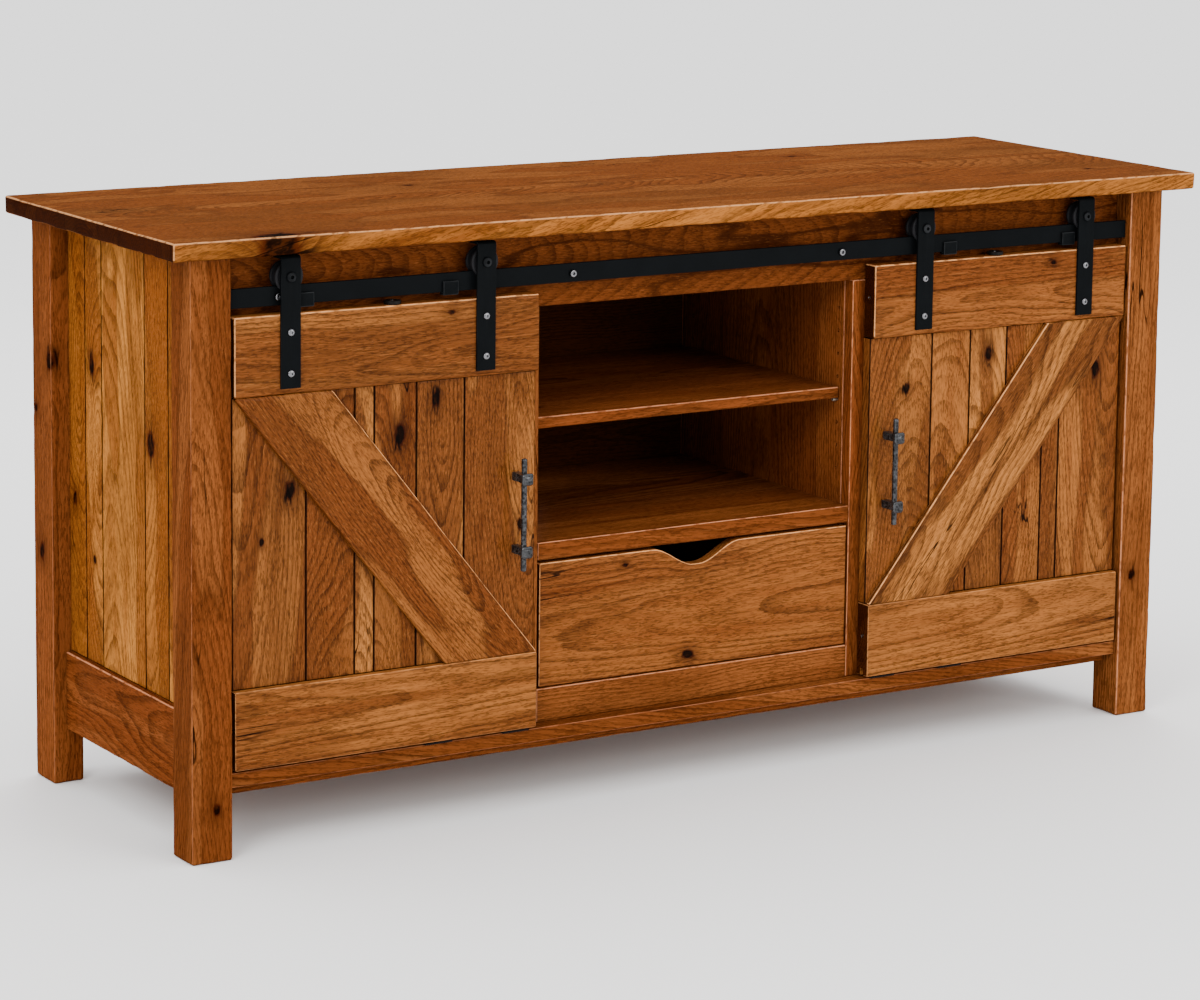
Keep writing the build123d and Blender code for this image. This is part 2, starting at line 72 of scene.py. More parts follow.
def make_camera():
    yaw, pitch, roll = (math.radians(a) for a in CAMERA_TURN)
    right = Vector((math.cos(yaw), math.sin(yaw), 0))
    ahead = Vector((-math.sin(yaw) * math.cos(pitch), math.cos(yaw) * math.cos(pitch), -math.sin(pitch)))
    up = right.cross(ahead)
    turned_right = math.cos(roll) * right + math.sin(roll) * up
    turned_up = math.cos(roll) * up - math.sin(roll) * right
    data = bpy.data.cameras.new("camera")
    data.sensor_width = 36
    data.lens = CAMERA_LENS
    data.shift_y = CAMERA_SHIFT
    camera = put("camera", data)
    axes = Matrix((turned_right, turned_up, -ahead)).transposed().to_4x4()
    camera.matrix_world = Matrix.Translation(CAMERA_AT) @ axes
    bpy.context.scene.camera = camera


def area_light(name, at, look, size, power, tint=(1, 1, 1)):
    data = bpy.data.lights.new(name, "AREA")
    data.shape = "RECTANGLE"
    data.size, data.size_y = size
    data.energy = power
    data.color = tint
    light = put(name, data)
    light.location = at
    light.rotation_euler = (Vector(look) - Vector(at)).to_track_quat("-Z", "Y").to_euler()


FLOOR_REACH = 30.0
FLOOR_GREY = (0.9, 0.9, 0.9, 1)
SKY_LOW, SKY_HIGH = 1.15, 2.3
WARM = (1.0, 0.97, 0.93)


def make_floor():
    mesh = bpy.data.meshes.new("floor")
    corners = [(x * FLOOR_REACH, y * FLOOR_REACH, 0) for x, y in ((-1, -1), (1, -1), (1, 1), (-1, 1))]
    mesh.from_pydata(corners, [], [(0, 1, 2, 3)])
    paint = Graph("floor_paint")
    paint.set(Base_Color=FLOOR_GREY, Roughness=0.9, Specular_IOR_Level=0.1)
    mesh.materials.append(paint.material)
    put("floor", mesh)


def make_lights():
    area_light("key", (-3.6, -2.6, 2.7), (0, 0, 0.4), (1.6, 1.6), 95, WARM)
    area_light("fill", (1.8, -4.6, 1.8), (0.2, 0, 0.4), (2.4, 1.6), 105, WARM)
    area_light("back", (1.6, 2.6, 3.2), (0.2, 0, 0.7), (2.6, 1.0), 60)


def make_sky():
    """A soft overhead light that falls away towards the horizon."""
    world = bpy.data.worlds.new("studio")
    world.use_nodes = True
    tree = world.node_tree
    backdrop = tree.nodes["Background"]
    backdrop.inputs["Color"].default_value = (1, 1, 1, 1)
    where = tree.nodes.new("ShaderNodeTexCoord")
    parts = tree.nodes.new("ShaderNodeSeparateXYZ")
    fade = tree.nodes.new("ShaderNodeMapRange")
    fade.interpolation_type = "SMOOTHSTEP"
    for key, value in (("From Min", 0.10), ("From Max", 0.80), ("To Min", SKY_LOW), ("To Max", SKY_HIGH)):
        fade.inputs[key].default_value = value
    tree.links.new(where.outputs["Generated"], parts.inputs[0])
    tree.links.new(parts.outputs["Z"], fade.inputs["Value"])
    tree.links.new(fade.outputs[0], backdrop.inputs["Strength"])
    bpy.context.scene.world = world


# ---- material graphs ----
class Wire:
    """A node's output. Arithmetic on it adds math nodes to its graph."""

    def __init__(self, graph, socket):
        self.graph = graph
        self.socket = socket

    def __add__(self, other):
        return self.graph.math("ADD", self, other)

    def __sub__(self, other):
        return self.graph.math("SUBTRACT", self, other)

    def __rsub__(self, other):
        return self.graph.math("SUBTRACT", other, self)

    def __mul__(self, other):
        return self.graph.math("MULTIPLY", self, other)


class Graph:
    """A short way to write a material's nodes."""

    def __init__(self, name):
        self.material = bpy.data.materials.new(name)
        self.material.use_nodes = True
        self.tree = self.material.node_tree
        self.shader = self.tree.nodes["Principled BSDF"]

    def feed(self, socket, value):
        if isinstance(value, Wire):
            self.tree.links.new(value.socket, socket)
        elif value is not None:
            socket.default_value = value

    def add(self, kind, inputs, output=0, **settings):
        """Adds a node, feeds its inputs and returns one of its outputs."""
        made = self.tree.nodes.new(kind)
        for key, value in settings.items():
            setattr(made, key, value)
        for key, value in inputs.items():
            self.feed(made.inputs[key], value)
        return Wire(self, made.outputs[output])

    def set(self, **values):
        for key, value in values.items():
            self.feed(self.shader.inputs[key.replace("_", " ")], value)

    def math(self, operation, a, b=None):
        return self.add("ShaderNodeMath", {0: a, 1: b}, operation=operation)

    def off_middle(self, value):
        """How far a noise is from its middle value."""
        return self.math("ABSOLUTE", value - 0.5)

    def length(self, vector):
        return self.add("ShaderNodeVectorMath", {0: vector}, "Value", operation="LENGTH")

    def attribute(self, name, output="Vector"):
        return self.add("ShaderNodeAttribute", {}, output, attribute_name=name)

    def place(self):
        return self.add("ShaderNodeTexCoord", {}, "Object")

    def parts(self, vector):
        made = self.tree.nodes.new("ShaderNodeSeparateXYZ")
        self.feed(made.inputs[0], vector)
        return [Wire(self, socket) for socket in made.outputs]

    def join(self, x, y, z):
        return self.add("ShaderNodeCombineXYZ", {0: x, 1: y, 2: z})

    def noise(self, vector, scale, detail, rough=0.5):
        inputs = {"Vector": vector, "Scale": scale, "Detail": detail, "Roughness": rough}
        return self.add("ShaderNodeTexNoise", inputs, "Fac")

    def stretched(self, vector, scales, detail, rough=0.5):
        """Noise with its own scale along each axis."""
        vector = self.add("ShaderNodeVectorMath", {0: vector, 1: scales}, operation="MULTIPLY")
        return self.noise(vector, 1.0, detail, rough)

    def step(self, value, low, high):
        """0 below low, 1 above high, smooth between; high may be less than low."""
        inputs = {"Value": value, "From Min": min(low, high), "From Max": max(low, high)}
        inputs.update({"To Min": float(low > high), "To Max": float(low < high)})
        return self.add("ShaderNodeMapRange", inputs, interpolation_type="SMOOTHSTEP")

    def mix(self, amount, a, b, blend="MIX"):
        a, b = ((*colour, 1) if isinstance(colour, tuple) else colour for colour in (a, b))
        return self.add("ShaderNodeMix", {0: amount, 6: a, 7: b}, 2, data_type="RGBA", blend_type=blend)

    def layered(self, colour, layers):
        """Lays (mask, amount, colour) layers over a colour, one after the other."""
        for mask, amount, over in layers:
            colour = self.mix(mask * amount, colour, over)
        return colour

    def bump(self, height, distance, strength):
        inputs = {"Strength": strength, "Distance": distance, "Height": height}
        self.set(Normal=self.add("ShaderNodeBump", inputs, "Normal"))


# ---- wood ----
RINGS_PER_M = 210.0
RING_WAVER = 0.048
END_GRAIN_STAIN = (0.20, 0.14, 0.10)
# painted light: how much the top's front edge face is lightened, so that it looks more brightly lit
FRONT_PAINTED_LIGHT = (1.9, 1.8, 1.5)


class Board:
    """What the steps of the wood's graph below work out and hand on."""


def scaled(colour, factor):
    return tuple(part * factor for part in colour)


def read_board(g, board):
    """What every board carries: its place in the log, its tone, its nearest knot and its edges."""
    board.along, board.across, board.deep = g.parts(g.attribute("grain"))
    board.tone, board.warmth, board.figure = g.parts(g.attribute("board"))
    board.knot = g.parts(g.attribute("knot"))
    board.knot_size = g.attribute("knot_size", "Fac")
    board.edge = g.attribute("edge", "Fac")
    board.end = g.attribute("end_grain", "Fac")
    board.plain = g.join(board.along, board.across, board.deep)
    board.wide = g.stretched(board.plain, (3.0, 9.0, 9.0), 2.5)
    board.ragged = g.stretched(board.plain, (60.0, 130.0, 130.0), 3.0, 0.6)


def mark_knots(g, board):
    """A knot is an uneven ellipse with a dark core, a rim and a halo, and the rings swell round it."""
    along, across, deep = board.knot
    reach = g.length(g.join(along * 0.58, across, deep)) + (board.ragged - 0.5) * 0.0065
    size = g.math("MAXIMUM", board.knot_size, 0.00001)
    share = g.math("DIVIDE", reach, size)
    board.knot_share = share
    board.core = g.step(share, 1.05, 0.80)
    board.rim = g.step(share, 1.5, 1.0) * g.step(share, 0.55, 0.95)
    board.halo = g.step(share, 4.6, 0.9)
    board.swell = g.math("EXPONENT", share * -0.55) * (size * 1.9)


def mark_rings(g, board):
    """Growth rings cut lengthwise, some strong and some faint, and the heartwood inside them."""
    waver = (board.wide - 0.5) * RING_WAVER
    across = board.across + waver
    deep = board.deep + waver * 0.6
    radius = g.length(g.join(0.0, across, deep)) + board.swell
    turns = radius * RINGS_PER_M + (board.ragged - 0.5) * 0.30
    phase = g.math("FRACT", turns)
    ring = g.step(phase, 0.35, 0.95) * g.step(phase, 1.0, 0.95)
    strength = g.noise(g.join(turns, 0.0, 0.0), 0.37, 2.0)
    board.ring = ring * g.step(strength, 0.25, 0.62)
    board.heart = g.stretched(g.join(board.along, across, deep), (0.7, 17.0, 17.0), 1.5)


def mark_fibres(g, board):
    """Fine fibres, long streaks and a soft mottle."""
    board.fibre = g.stretched(board.plain, (9.0, 560.0, 560.0), 3.0, 0.6)
    board.streak = g.stretched(board.plain, (1.6, 42.0, 42.0), 3.0, 0.55)
    board.mottle = g.stretched(board.plain, (14.0, 30.0, 30.0), 2.0)


def mark_pores(g, board):
    """Short dark dashes, in rows that follow the rings."""
    dashes = g.stretched(board.plain, (105.0, 640.0, 640.0), 1.0)
    coarse = g.stretched(board.plain, (58.0, 400.0, 400.0), 1.0)
    rows = g.math("MINIMUM", board.ring * 0.60 + g.step(board.mottle, 0.25, 0.70) + 0.25, 1.0)
    fine = g.step(dashes, 0.515, 0.625) * rows
    board.pores = g.math("MAXIMUM", fine, g.step(coarse, 0.57, 0.67) * 0.85)


def mark_splits(g, board):
    """Checks, which are thin dark splits along the grain, and mineral streaks."""
    band = g.stretched(board.plain, (2.6, 44.0, 44.0), 2.0, 0.4)
    where = g.stretched(board.plain, (2.4, 9.0, 9.0), 1.0)
    gap = g.off_middle(band)
    stray = g.step(gap, 0.013, 0.005) * g.step(where, 0.68, 0.76)
    by_knots = g.step(gap, 0.022, 0.004) * g.step(board.knot_share, 2.6, 1.4)
    board.check = g.math("MAXIMUM", stray, by_knots)
    board.smudge = g.step(board.streak, 0.56, 0.72) * g.step(where, 0.50, 0.66)


def stained_and_lit(g, board, pale, mid, dark):
    """The wood's colour. A tone above 1 darkens a board further, which on the header is painted shade; one
    below 0 lightens it, which is painted light on the top's front edge face.
    """
    heartwood = g.step(board.heart, 0.47, 0.53) * board.figure
    tint = board.tone * 0.62 + heartwood
    border = g.step(g.off_middle(board.heart), 0.030, 0.004) * board.figure
    red = (mid[0] * 1.05, mid[1] * 0.70, mid[2] * 0.55)
    colour = g.mix(g.math("MINIMUM", tint, 1.0), pale, mid)
    colour = g.layered(colour, (
        (g.step(board.streak, 0.40, 0.70), 0.55, mid),
        (g.step(board.mottle, 0.50, 0.72), 0.30, scaled(mid, 0.75)),
        (board.smudge, 0.62, dark),
        # a tone above 1 gives a darker board; on the header this is painted shade
        (g.step(board.tone, 1.0, 2.2), 0.80, scaled(mid, 0.5)),
    ))
    # painted light: a tone below 0, given only to the top's front edge face, lightens the colour as if that
    # face were lit more
    colour = g.mix(g.step(board.tone, -0.2, -1.0), colour, FRONT_PAINTED_LIGHT, "MULTIPLY")
    return g.layered(colour, (
        (board.warmth, 0.50, red),
        (border, 0.42, dark),
        (board.ring, 0.60, dark),
        (g.step(board.wide, 0.46, 0.70), 0.50, scaled(mid, 0.62)),
        (g.step(board.fibre, 0.50, 0.78), 0.34, dark),
        (g.step(board.fibre, 0.46, 0.22), 0.28, scaled(pale, 1.25)),
        (board.pores, 0.50, scaled(dark, 0.9)),
        (board.halo, 0.50, scaled(dark, 1.3)),
    ))


def weathered_and_lit(g, board, colour, pale, dark):
    """Darkens end grain, knots and splits, paints the plank seams near black as painted shade, and draws the
    edges pale as wear and painted highlight.
    """
    black = scaled(dark, 0.10)
    rust = (dark[0] * 1.3, dark[1] * 0.8, dark[2] * 0.6)
    # painted highlight: the pale edge colour stands for wear and for light caught on the eased edges, and its
    # mask is strongest on edges facing the light
    bare_and_highlight = (min(pale[0] * 2.1, 0.9), min(pale[1] * 2.5, 0.45), min(pale[2] * 4.6, 0.15))
    flecks = g.mix(g.step(board.ragged, 0.46, 0.62), black, dark)
    worn_and_lit = g.step(board.edge, 0.70, 0.98) * (g.step(board.ragged, 0.34, 0.54) + 0.35)
    # painted shade: where the edge mark is negative, along the plank seams, the wood is painted near black
    # for the shadow in the gaps
    seam_shade = g.step(board.edge, -0.60, -0.92)
    colour = g.mix(board.end, colour, END_GRAIN_STAIN, "MULTIPLY")
    colour = g.layered(colour, (
        (board.rim, 0.85, rust),
        (board.core, 0.96, flecks),
        (board.check, 0.93, black),
    ))
    colour = g.mix(g.math("MINIMUM", worn_and_lit * 0.62, 0.75), colour, bare_and_highlight)
    return g.mix(seam_shade * 0.97, colour, black)


def relief(g, board):
    """The height of the wood's skin: fibres and knot rims stand up, pores, rings and splits sink in."""
    height = board.fibre * 0.30 - board.pores * 0.45 - board.ring * 0.18
    height = height - board.check * 2.2 - board.core * 1.3
    return height + board.rim * 0.7 + board.wide * 0.9


def wood(name, pale, mid, dark, gloss=0.36, lacquer=0.05):
    """Lacquered knotty hardwood. Every board carries its own grain direction, tone and knots."""
    g = Graph(name)
    board = Board()
    for mark in (read_board, mark_knots, mark_rings, mark_fibres, mark_pores, mark_splits):
        mark(g, board)
    colour = weathered_and_lit(g, board, stained_and_lit(g, board, pale, mid, dark), pale, dark)
    rough = board.fibre * 0.16 + (gloss - 0.08) + g.math("MAXIMUM", board.core, board.check) * 0.30
    g.set(Base_Color=colour, Roughness=rough, Specular_IOR_Level=0.0)
    g.set(Coat_Weight=lacquer, Coat_Roughness=0.22)
    g.bump(relief(g, board), 0.0005, 0.8)
    return g.material


# ---- metal and plastic ----
def powder_coat(name, base):
    """Black powder coat: a fine orange peel, thinner and brighter along the edges, where it wears."""
    g = Graph(name)
    at = g.place()
    cloud = g.noise(at, 26.0, 4.0, 0.6)
    scuff = g.stretched(at, (900.0, 120.0, 60.0), 2.0, 0.6)
    edge = g.step(g.attribute("edge", "Fac"), 0.35, 0.9) * g.step(cloud, 0.30, 0.60)
    colour = g.layered(base, (
        (g.step(cloud, 0.35, 0.75), 0.5, scaled(base, 1.4)),
        (g.step(scuff, 0.66, 0.78), 0.10, (0.012, 0.013, 0.014)),
        (edge, 0.45, (0.040, 0.042, 0.045)),
    ))
    g.set(Base_Color=colour, Roughness=cloud * 0.10 + 0.42 - edge * 0.12)
    g.set(Specular_IOR_Level=0.0, Coat_Weight=0.04, Coat_Roughness=0.45)
    g.bump(g.noise(at, 900.0, 2.0), 0.00010, 0.6)
    return g.material


def hammered_iron(name):
    """Pewter-coloured iron: dark in the hollows, brighter on the high spots where it is polished, and bright
    along the edges as wear and painted highlight.
    """
    g = Graph(name)
    at = g.place()
    dent = g.add("ShaderNodeTexVoronoi", {"Vector": at, "Scale": 260.0}, "Distance")
    grit = g.noise(at, 1400.0, 3.0, 0.6)
    cloud = g.noise(at, 110.0, 3.0, 0.6)
    high = g.step(dent, 0.15, 0.75) * g.step(cloud, 0.30, 0.62)
    # painted highlight with wear: the marked edges, chiefly the pull heads' rims, are drawn bright
    rubbed_and_lit = g.step(g.attribute("edge", "Fac"), 0.3, 0.9) * 0.8
    high = g.math("MAXIMUM", high, rubbed_and_lit)
    colour = g.mix(high, (0.008, 0.0085, 0.0095), (0.062, 0.063, 0.066))
    g.set(Base_Color=colour, Roughness=0.32 - high * 0.10)
    g.set(Metallic=0.6, Specular_IOR_Level=0.25)
    g.bump(dent + grit * 0.25, 0.0006, 0.5)
    return g.material


def turned_steel(name, base, rough):
    """Machined steel with fine turning marks and a few dull spots."""
    g = Graph(name)
    at = g.place()
    fine = g.stretched(at, (700.0, 4200.0, 700.0), 2.0, 0.6)
    dull = g.step(g.noise(at, 320.0, 3.0, 0.6), 0.45, 0.75)
    g.set(Base_Color=g.mix(dull * 0.6, base, scaled(base, 0.5)))
    g.set(Roughness=fine * 0.22 + (rough - 0.1), Metallic=1.0)
    g.bump(fine, 0.00006, 0.5)
    return g.material


def moulded_nylon(name, base):
    """Satin moulded nylon with a faint grained skin."""
    g = Graph(name)
    at = g.place()
    skin = g.noise(at, 1600.0, 2.0)
    cloud = g.noise(at, 90.0, 3.0)
    g.set(Base_Color=g.mix(cloud * 0.6, base, scaled(base, 1.8)))
    g.set(Roughness=skin * 0.16 + 0.32, Specular_IOR_Level=0.06)
    g.bump(skin, 0.00005, 0.5)
    return g.material


# each wood's pale, middle and dark colour, then its roughness and lacquer unless they are the usual ones
WOODS = {
    "top_wood": ((0.265, 0.107, 0.0250), (0.140, 0.046, 0.0095), (0.028, 0.0062, 0.0012), 0.42, 0.02),
    "frame_wood": ((0.282, 0.094, 0.0240), (0.146, 0.039, 0.0088), (0.025, 0.0054, 0.0011), 0.38, 0.015),
    "side_wood": ((0.490, 0.195, 0.0370), (0.225, 0.070, 0.0110), (0.033, 0.0072, 0.0012), 0.40, 0.02),
    "door_wood": ((0.410, 0.156, 0.0370), (0.136, 0.0415, 0.0095), (0.016, 0.0036, 0.0008)),
    "inside_wood": ((0.090, 0.028, 0.0055), (0.056, 0.016, 0.0030), (0.016, 0.0037, 0.0008), 0.45),
    "drawer_box_wood": ((0.54, 0.31, 0.130), (0.430, 0.220, 0.0800), (0.170, 0.0680, 0.0180), 0.45),
}


def make_materials():
    made = {name: wood(name, *look) for name, look in WOODS.items()}
    made.update({
        "black_steel": powder_coat("black_steel", (0.0030, 0.0036, 0.0041)),
        "roller_plastic": moulded_nylon("roller_plastic", (0.008, 0.008, 0.009)),
        "guide_plastic": moulded_nylon("guide_plastic", (0.0040, 0.0034, 0.0030)),
        "screw_steel": turned_steel("screw_steel", (0.17, 0.17, 0.18), 0.24),
        "slide_steel": turned_steel("slide_steel", (0.40, 0.36, 0.30), 0.34),
        "pull_iron": hammered_iron("pull_iron"),
    })
    return made


# ---- reading the frame ----
WELD = 1e-6


def closed_shells(mesh):
    """The faces of each closed shell, in file order, and then those that never close."""
    spots = [tuple(np.round(v.co, 6)) for v in mesh.vertices]
    loose = set()
    shells = [[]]
    for face in mesh.polygons:
        ring = [spots[i] for i in face.vertices]
        loose ^= {tuple(sorted(pair)) for pair in zip(ring, ring[1:] + ring[:1])}
        shells[-1].append(face)
        if not loose:
            shells.append([])
    return shells[:-1], shells[-1]


def islands(mesh):
    """The corner points of each loose part of a mesh."""
    joined = bmesh.new()
    joined.from_mesh(mesh)
    bmesh.ops.remove_doubles(joined, verts=joined.verts, dist=WELD)
    seen = set()
    found = []
    for start in joined.verts:
        if start in seen:
            continue
        seen.add(start)
        island = [start]
        for vert in island:
            for link in vert.link_edges:
                other = link.other_vert(vert)
                if other not in seen:
                    seen.add(other)
                    island.append(other)
        found.append(np.array([v.co for v in island]))
    joined.free()
    return found


def welded(node, flat):
    """A CAD node's own mesh in hand, with the faces merged whose angle is under flat."""
    mesh = bmesh.new()
    mesh.from_mesh(frame["nodes"][node].data)
    bmesh.ops.remove_doubles(mesh, verts=mesh.verts, dist=WELD)
    bmesh.ops.dissolve_limit(mesh, angle_limit=flat, verts=mesh.verts, edges=mesh.edges)
    return mesh


def listed(mesh):
    """The points and faces of a mesh in hand, which is let go."""
    mesh.verts.index_update()
    points = np.array([v.co for v in mesh.verts])
    faces = [[v.index for v in f.verts] for f in mesh.faces]
    mesh.free()
    return points, faces


def solids(node):
    """The lowest and highest corner of each separate solid of a CAD node, left to right."""
    mesh = frame["nodes"][node].data
    shells, rest = closed_shells(mesh)
    if rest:
        groups = islands(mesh)
    else:
        groups = [
            np.array([mesh.vertices[i].co for face in shell for i in face.vertices]) for shell in shells
        ]
    boxes = [(points.min(0), points.max(0)) for points in groups]
    return sorted(boxes, key=lambda box: tuple(round(place, 4) for place in box[0]))


# ---- pieces ----
def mesh_from(name, points, faces, layers, angle=None):
    """A smooth mesh with {name: (kind, domain, values)} as attributes; edges past the angle stay sharp."""
    mesh = bpy.data.meshes.new(name)
    mesh.from_pydata([tuple(p) for p in points], [], [list(f) for f in faces])
    for key, (kind, domain, values) in layers.items():
        layer = mesh.attributes.new(key, kind, domain)
        values = np.array(values, np.float32).ravel()
        layer.data.foreach_set("vector" if kind == "FLOAT_VECTOR" else "value", values)
    mesh.update()
    mesh.shade_smooth()
    if angle:
        mesh.set_sharp_from_angle(angle=math.radians(angle))
    return mesh


def worn_and_lit_edges(values, domain="POINT"):
    """The attribute that marks where metal is drawn bright: wear, and on the pull heads' rims a painted
    highlight too.
    """
    return {"edge": ("FLOAT", domain, values)}


def add_piece(name, mesh, node):
    """Files a mesh as the piece that stands for a CAD node, on that node's body."""
    piece = put(name, mesh)
    mesh.materials.append(MATERIALS[SLOT_OF[node]])
    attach(piece, BODY_OF[node])
    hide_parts(node)


# ---- boards ----
AXES = {X: (1, 0, 0), Y: (0, 1, 0), Z: (0, 0, 1)}
WEAR_WIDE = 3.5 * MM
# the way board edges must face to be drawn palest: a painted highlight from the light's side
EDGE_LIGHT_DIRECTION = (-0.45, -0.35, 0.82)
THIN_BOARD = 0.030
THICK_KNOT_DEPTH, THIN_KNOT_DEPTH = 0.8, 0.12
NO_KNOT = (9.0, 9.0, 9.0)
SHEETS = [
    (tuple(end if a == axis else slice(None) for a in range(3)), axis, end)
    for axis in range(3) for end in (0, -1)
]
# the attributes that the wood material reads, with their kind and domain
WOOD_LAYERS = {
    "grain": ("FLOAT_VECTOR", "POINT"),
    "board": ("FLOAT_VECTOR", "POINT"),
    "knot": ("FLOAT_VECTOR", "CORNER"),
    "edge": ("FLOAT", "POINT"),
    "knot_size": ("FLOAT", "CORNER"),
    "end_grain": ("FLOAT", "FACE"),
}


def lattice_lines(size, ease, cell):
    """Places of the grid lines along one side of a board: close at the rounded ends, even between."""
    ends = [0.0, 0.586 * ease, ease]
    if size > 2 * (ease + WEAR_WIDE) + cell / 2:
        ends.append(ease + WEAR_WIDE)
    gap = size - 2 * ends[-1]
    steps = max(1, round(gap / cell))
    middle = [ends[-1] + gap * i / steps for i in range(1, steps)]
    return np.array(ends + middle + [size - e for e in reversed(ends)])


def box_shell(lines):
    """The outer points and faces of a box, from its grid lines along each axis."""
    counts = [len(line) for line in lines]
    shell = np.zeros(counts, bool)
    for sheet, _, _ in SHEETS:
        shell[sheet] = True
    where = np.argwhere(shell)
    index = np.full(counts, -1, int)
    index[shell] = np.arange(len(where))
    points = np.stack([lines[a][where[:, a]] for a in range(3)], axis=1)
    faces = []
    for sheet, axis, end in SHEETS:
        grid = index[sheet]
        corners = grid[:-1, :-1], grid[1:, :-1], grid[1:, 1:], grid[:-1, 1:]
        quads = np.stack(corners, axis=-1).reshape(-1, 4)
        inward = (end == 0) ^ (axis == Y)
        faces.append(quads[:, ::-1] if inward else quads)
    return points, np.concatenate(faces)


def rounded_board(low, high, ease, cell):
    """A box with rounded edges, as points, faces, closeness to an edge and outward directions."""
    points, faces = box_shell([lattice_lines(high[a] - low[a], ease, cell) + low[a] for a in range(3)])
    inner = np.clip(points, low + ease, high - ease)
    out = points - inner
    out = out / np.linalg.norm(out, axis=1, keepdims=True)
    second = np.sort(np.minimum(points - low, high - points), axis=1)[:, 1]
    edge = np.clip(1 - (second - 0.4 * ease) / (0.6 * ease + 0.6 * WEAR_WIDE), 0, 1)
    return inner + out * ease, faces, edge, out


def ripple(points, rng, wavelength):
    """Smooth noise between about -1 and 1, from a few sine waves."""
    total = np.zeros(len(points))
    for _ in range(7):
        direction = rng.normal(size=3)
        direction /= np.linalg.norm(direction)
        length = wavelength * rng.uniform(0.6, 1.7)
        total += np.sin(points @ direction * 2 * math.pi / length + rng.uniform(0, 2 * math.pi))
    return total / 3.2


def wear_board(points, edge, out, rng, amount):
    """Pulls the skin in a little: a hand-planed waver on the faces and scuffed, knocked edges."""
    plane = 0.22 * MM * (0.5 + 0.5 * ripple(points, rng, 0.16).clip(-1, 1))
    rub = amount * edge * ripple(points, rng, 0.055).clip(0, 1)
    knock = 1.6 * amount * edge * (ripple(points, rng, 0.030) - 0.95).clip(0, 0.6)
    return points - out * (plane + rub + knock)[:, None]


def random_knots(rng, length, width, share):
    """A few knots somewhere on a board, as (along, across, radius, depth)."""
    count = rng.poisson(share * length * width / 0.05)
    return [
        (rng.uniform(0.04, 0.96) * length, rng.uniform(-0.5, 0.5) * width, rng.uniform(2.0, 6.0) * MM, 0.0)
        for _ in range(count)
    ]


def sized_knots(knots, length, width, thick):
    """Knots given in shares of a board and a radius in mm, as (along, across, radius, depth) in metres."""
    found = []
    for along, across, radius, *depth in knots:
        found.append((along * length, across * width, radius * MM, depth[0] * thick if depth else 0.0))
    return found


def cut_from_log(u, v, w, rng, tone, figure):
    """Each point's place in the log that a board is cut from, and the board's (tone, warmth, figure)."""
    start = rng.uniform(0, 4)
    pith_v = rng.uniform(-0.055, 0.055)
    pith_w = rng.uniform(0.022, 0.085) * rng.choice((-1, 1))
    figure = rng.uniform(0.25, 0.8) if figure is None else figure
    steep = 0.42 if figure > 0.6 else 0.10
    slope = rng.uniform(0.25, 1.0) * steep * rng.choice((-1, 1))
    lean = rng.uniform(-0.012, 0.012)
    grain = np.stack([u + start, v + pith_v + lean * u, w + pith_w + slope * u * 0.55], axis=1)
    tone = rng.uniform(0.05, 0.95) if tone is None else tone
    look = np.tile((0.0, rng.uniform(0, 1), figure), (len(u), 1))
    look[:, 0] = tone
    return grain, look


def nearest_knots(corners, knots, depth_share):
    """The way to each face corner from the knot nearest to its face, and that knot's radius."""
    if not knots:
        offsets = np.tile(np.array(NO_KNOT), (*corners.shape[:2], 1))
        return offsets.reshape(-1, 3), np.zeros(corners.shape[:2]).ravel()
    spots = np.array(knots)
    spots[:, 3] *= depth_share
    places, radii = spots[:, [0, 1, 3]], spots[:, 2]
    reach = np.linalg.norm(corners.mean(axis=1)[:, None, :] - places, axis=2) / radii
    nearest = reach.argmin(axis=1)
    offsets = corners - places[nearest][:, None, :]
    return offsets.reshape(-1, 3), np.repeat(radii[nearest], corners.shape[1])


def end_faces(points, faces, along):
    """1 for each face that looks along the board, where end grain shows, and 0 for the others."""
    first, second, third = (points[faces[:, i]] for i in range(3))
    facing = np.cross(second - first, third - first)
    facing /= np.maximum(np.linalg.norm(facing, axis=1, keepdims=True), 1e-12)
    return (np.abs(facing @ along) > 0.8).astype(float)


class BoardMesh:
    """Collects boards into one mesh, with the attributes that the wood material reads."""

    def __init__(self):
        self.points, self.faces = [], []
        self.layers = {key: [] for key in WOOD_LAYERS}
        self.total = 0

    def add(self, points, faces, edge, axes, seed, knots, tone=None, figure=None):
        """One board. Its axes run along it and across its face; knots count from its low end and middle."""
        along, across = (np.array(axis, float) for axis in axes)
        u, v, w = points @ along, points @ across, points @ np.cross(along, across)
        u = u - u.min()
        v = v - (v.min() + v.max()) / 2
        w = w - (w.min() + w.max()) / 2
        grain, look = cut_from_log(u, v, w, np.random.default_rng(seed), tone, figure)
        depth_share = THICK_KNOT_DEPTH if np.ptp(w) > THIN_BOARD else THIN_KNOT_DEPTH
        corners = np.stack([u[faces], v[faces], w[faces] * depth_share], axis=-1)
        offsets, sizes = nearest_knots(corners, knots, depth_share)
        ends = end_faces(points, faces, along)
        for key, values in zip(WOOD_LAYERS, (grain, look, offsets, edge, sizes, ends)):
            self.layers[key].append(values)
        self.points.append(points)
        self.faces.append(faces + self.total)
        self.total += len(points)

    def build(self, name, angle=None):
        layers = {key: (*WOOD_LAYERS[key], np.concatenate(rows)) for key, rows in self.layers.items()}
        return mesh_from(name, np.concatenate(self.points), np.concatenate(self.faces), layers, angle)


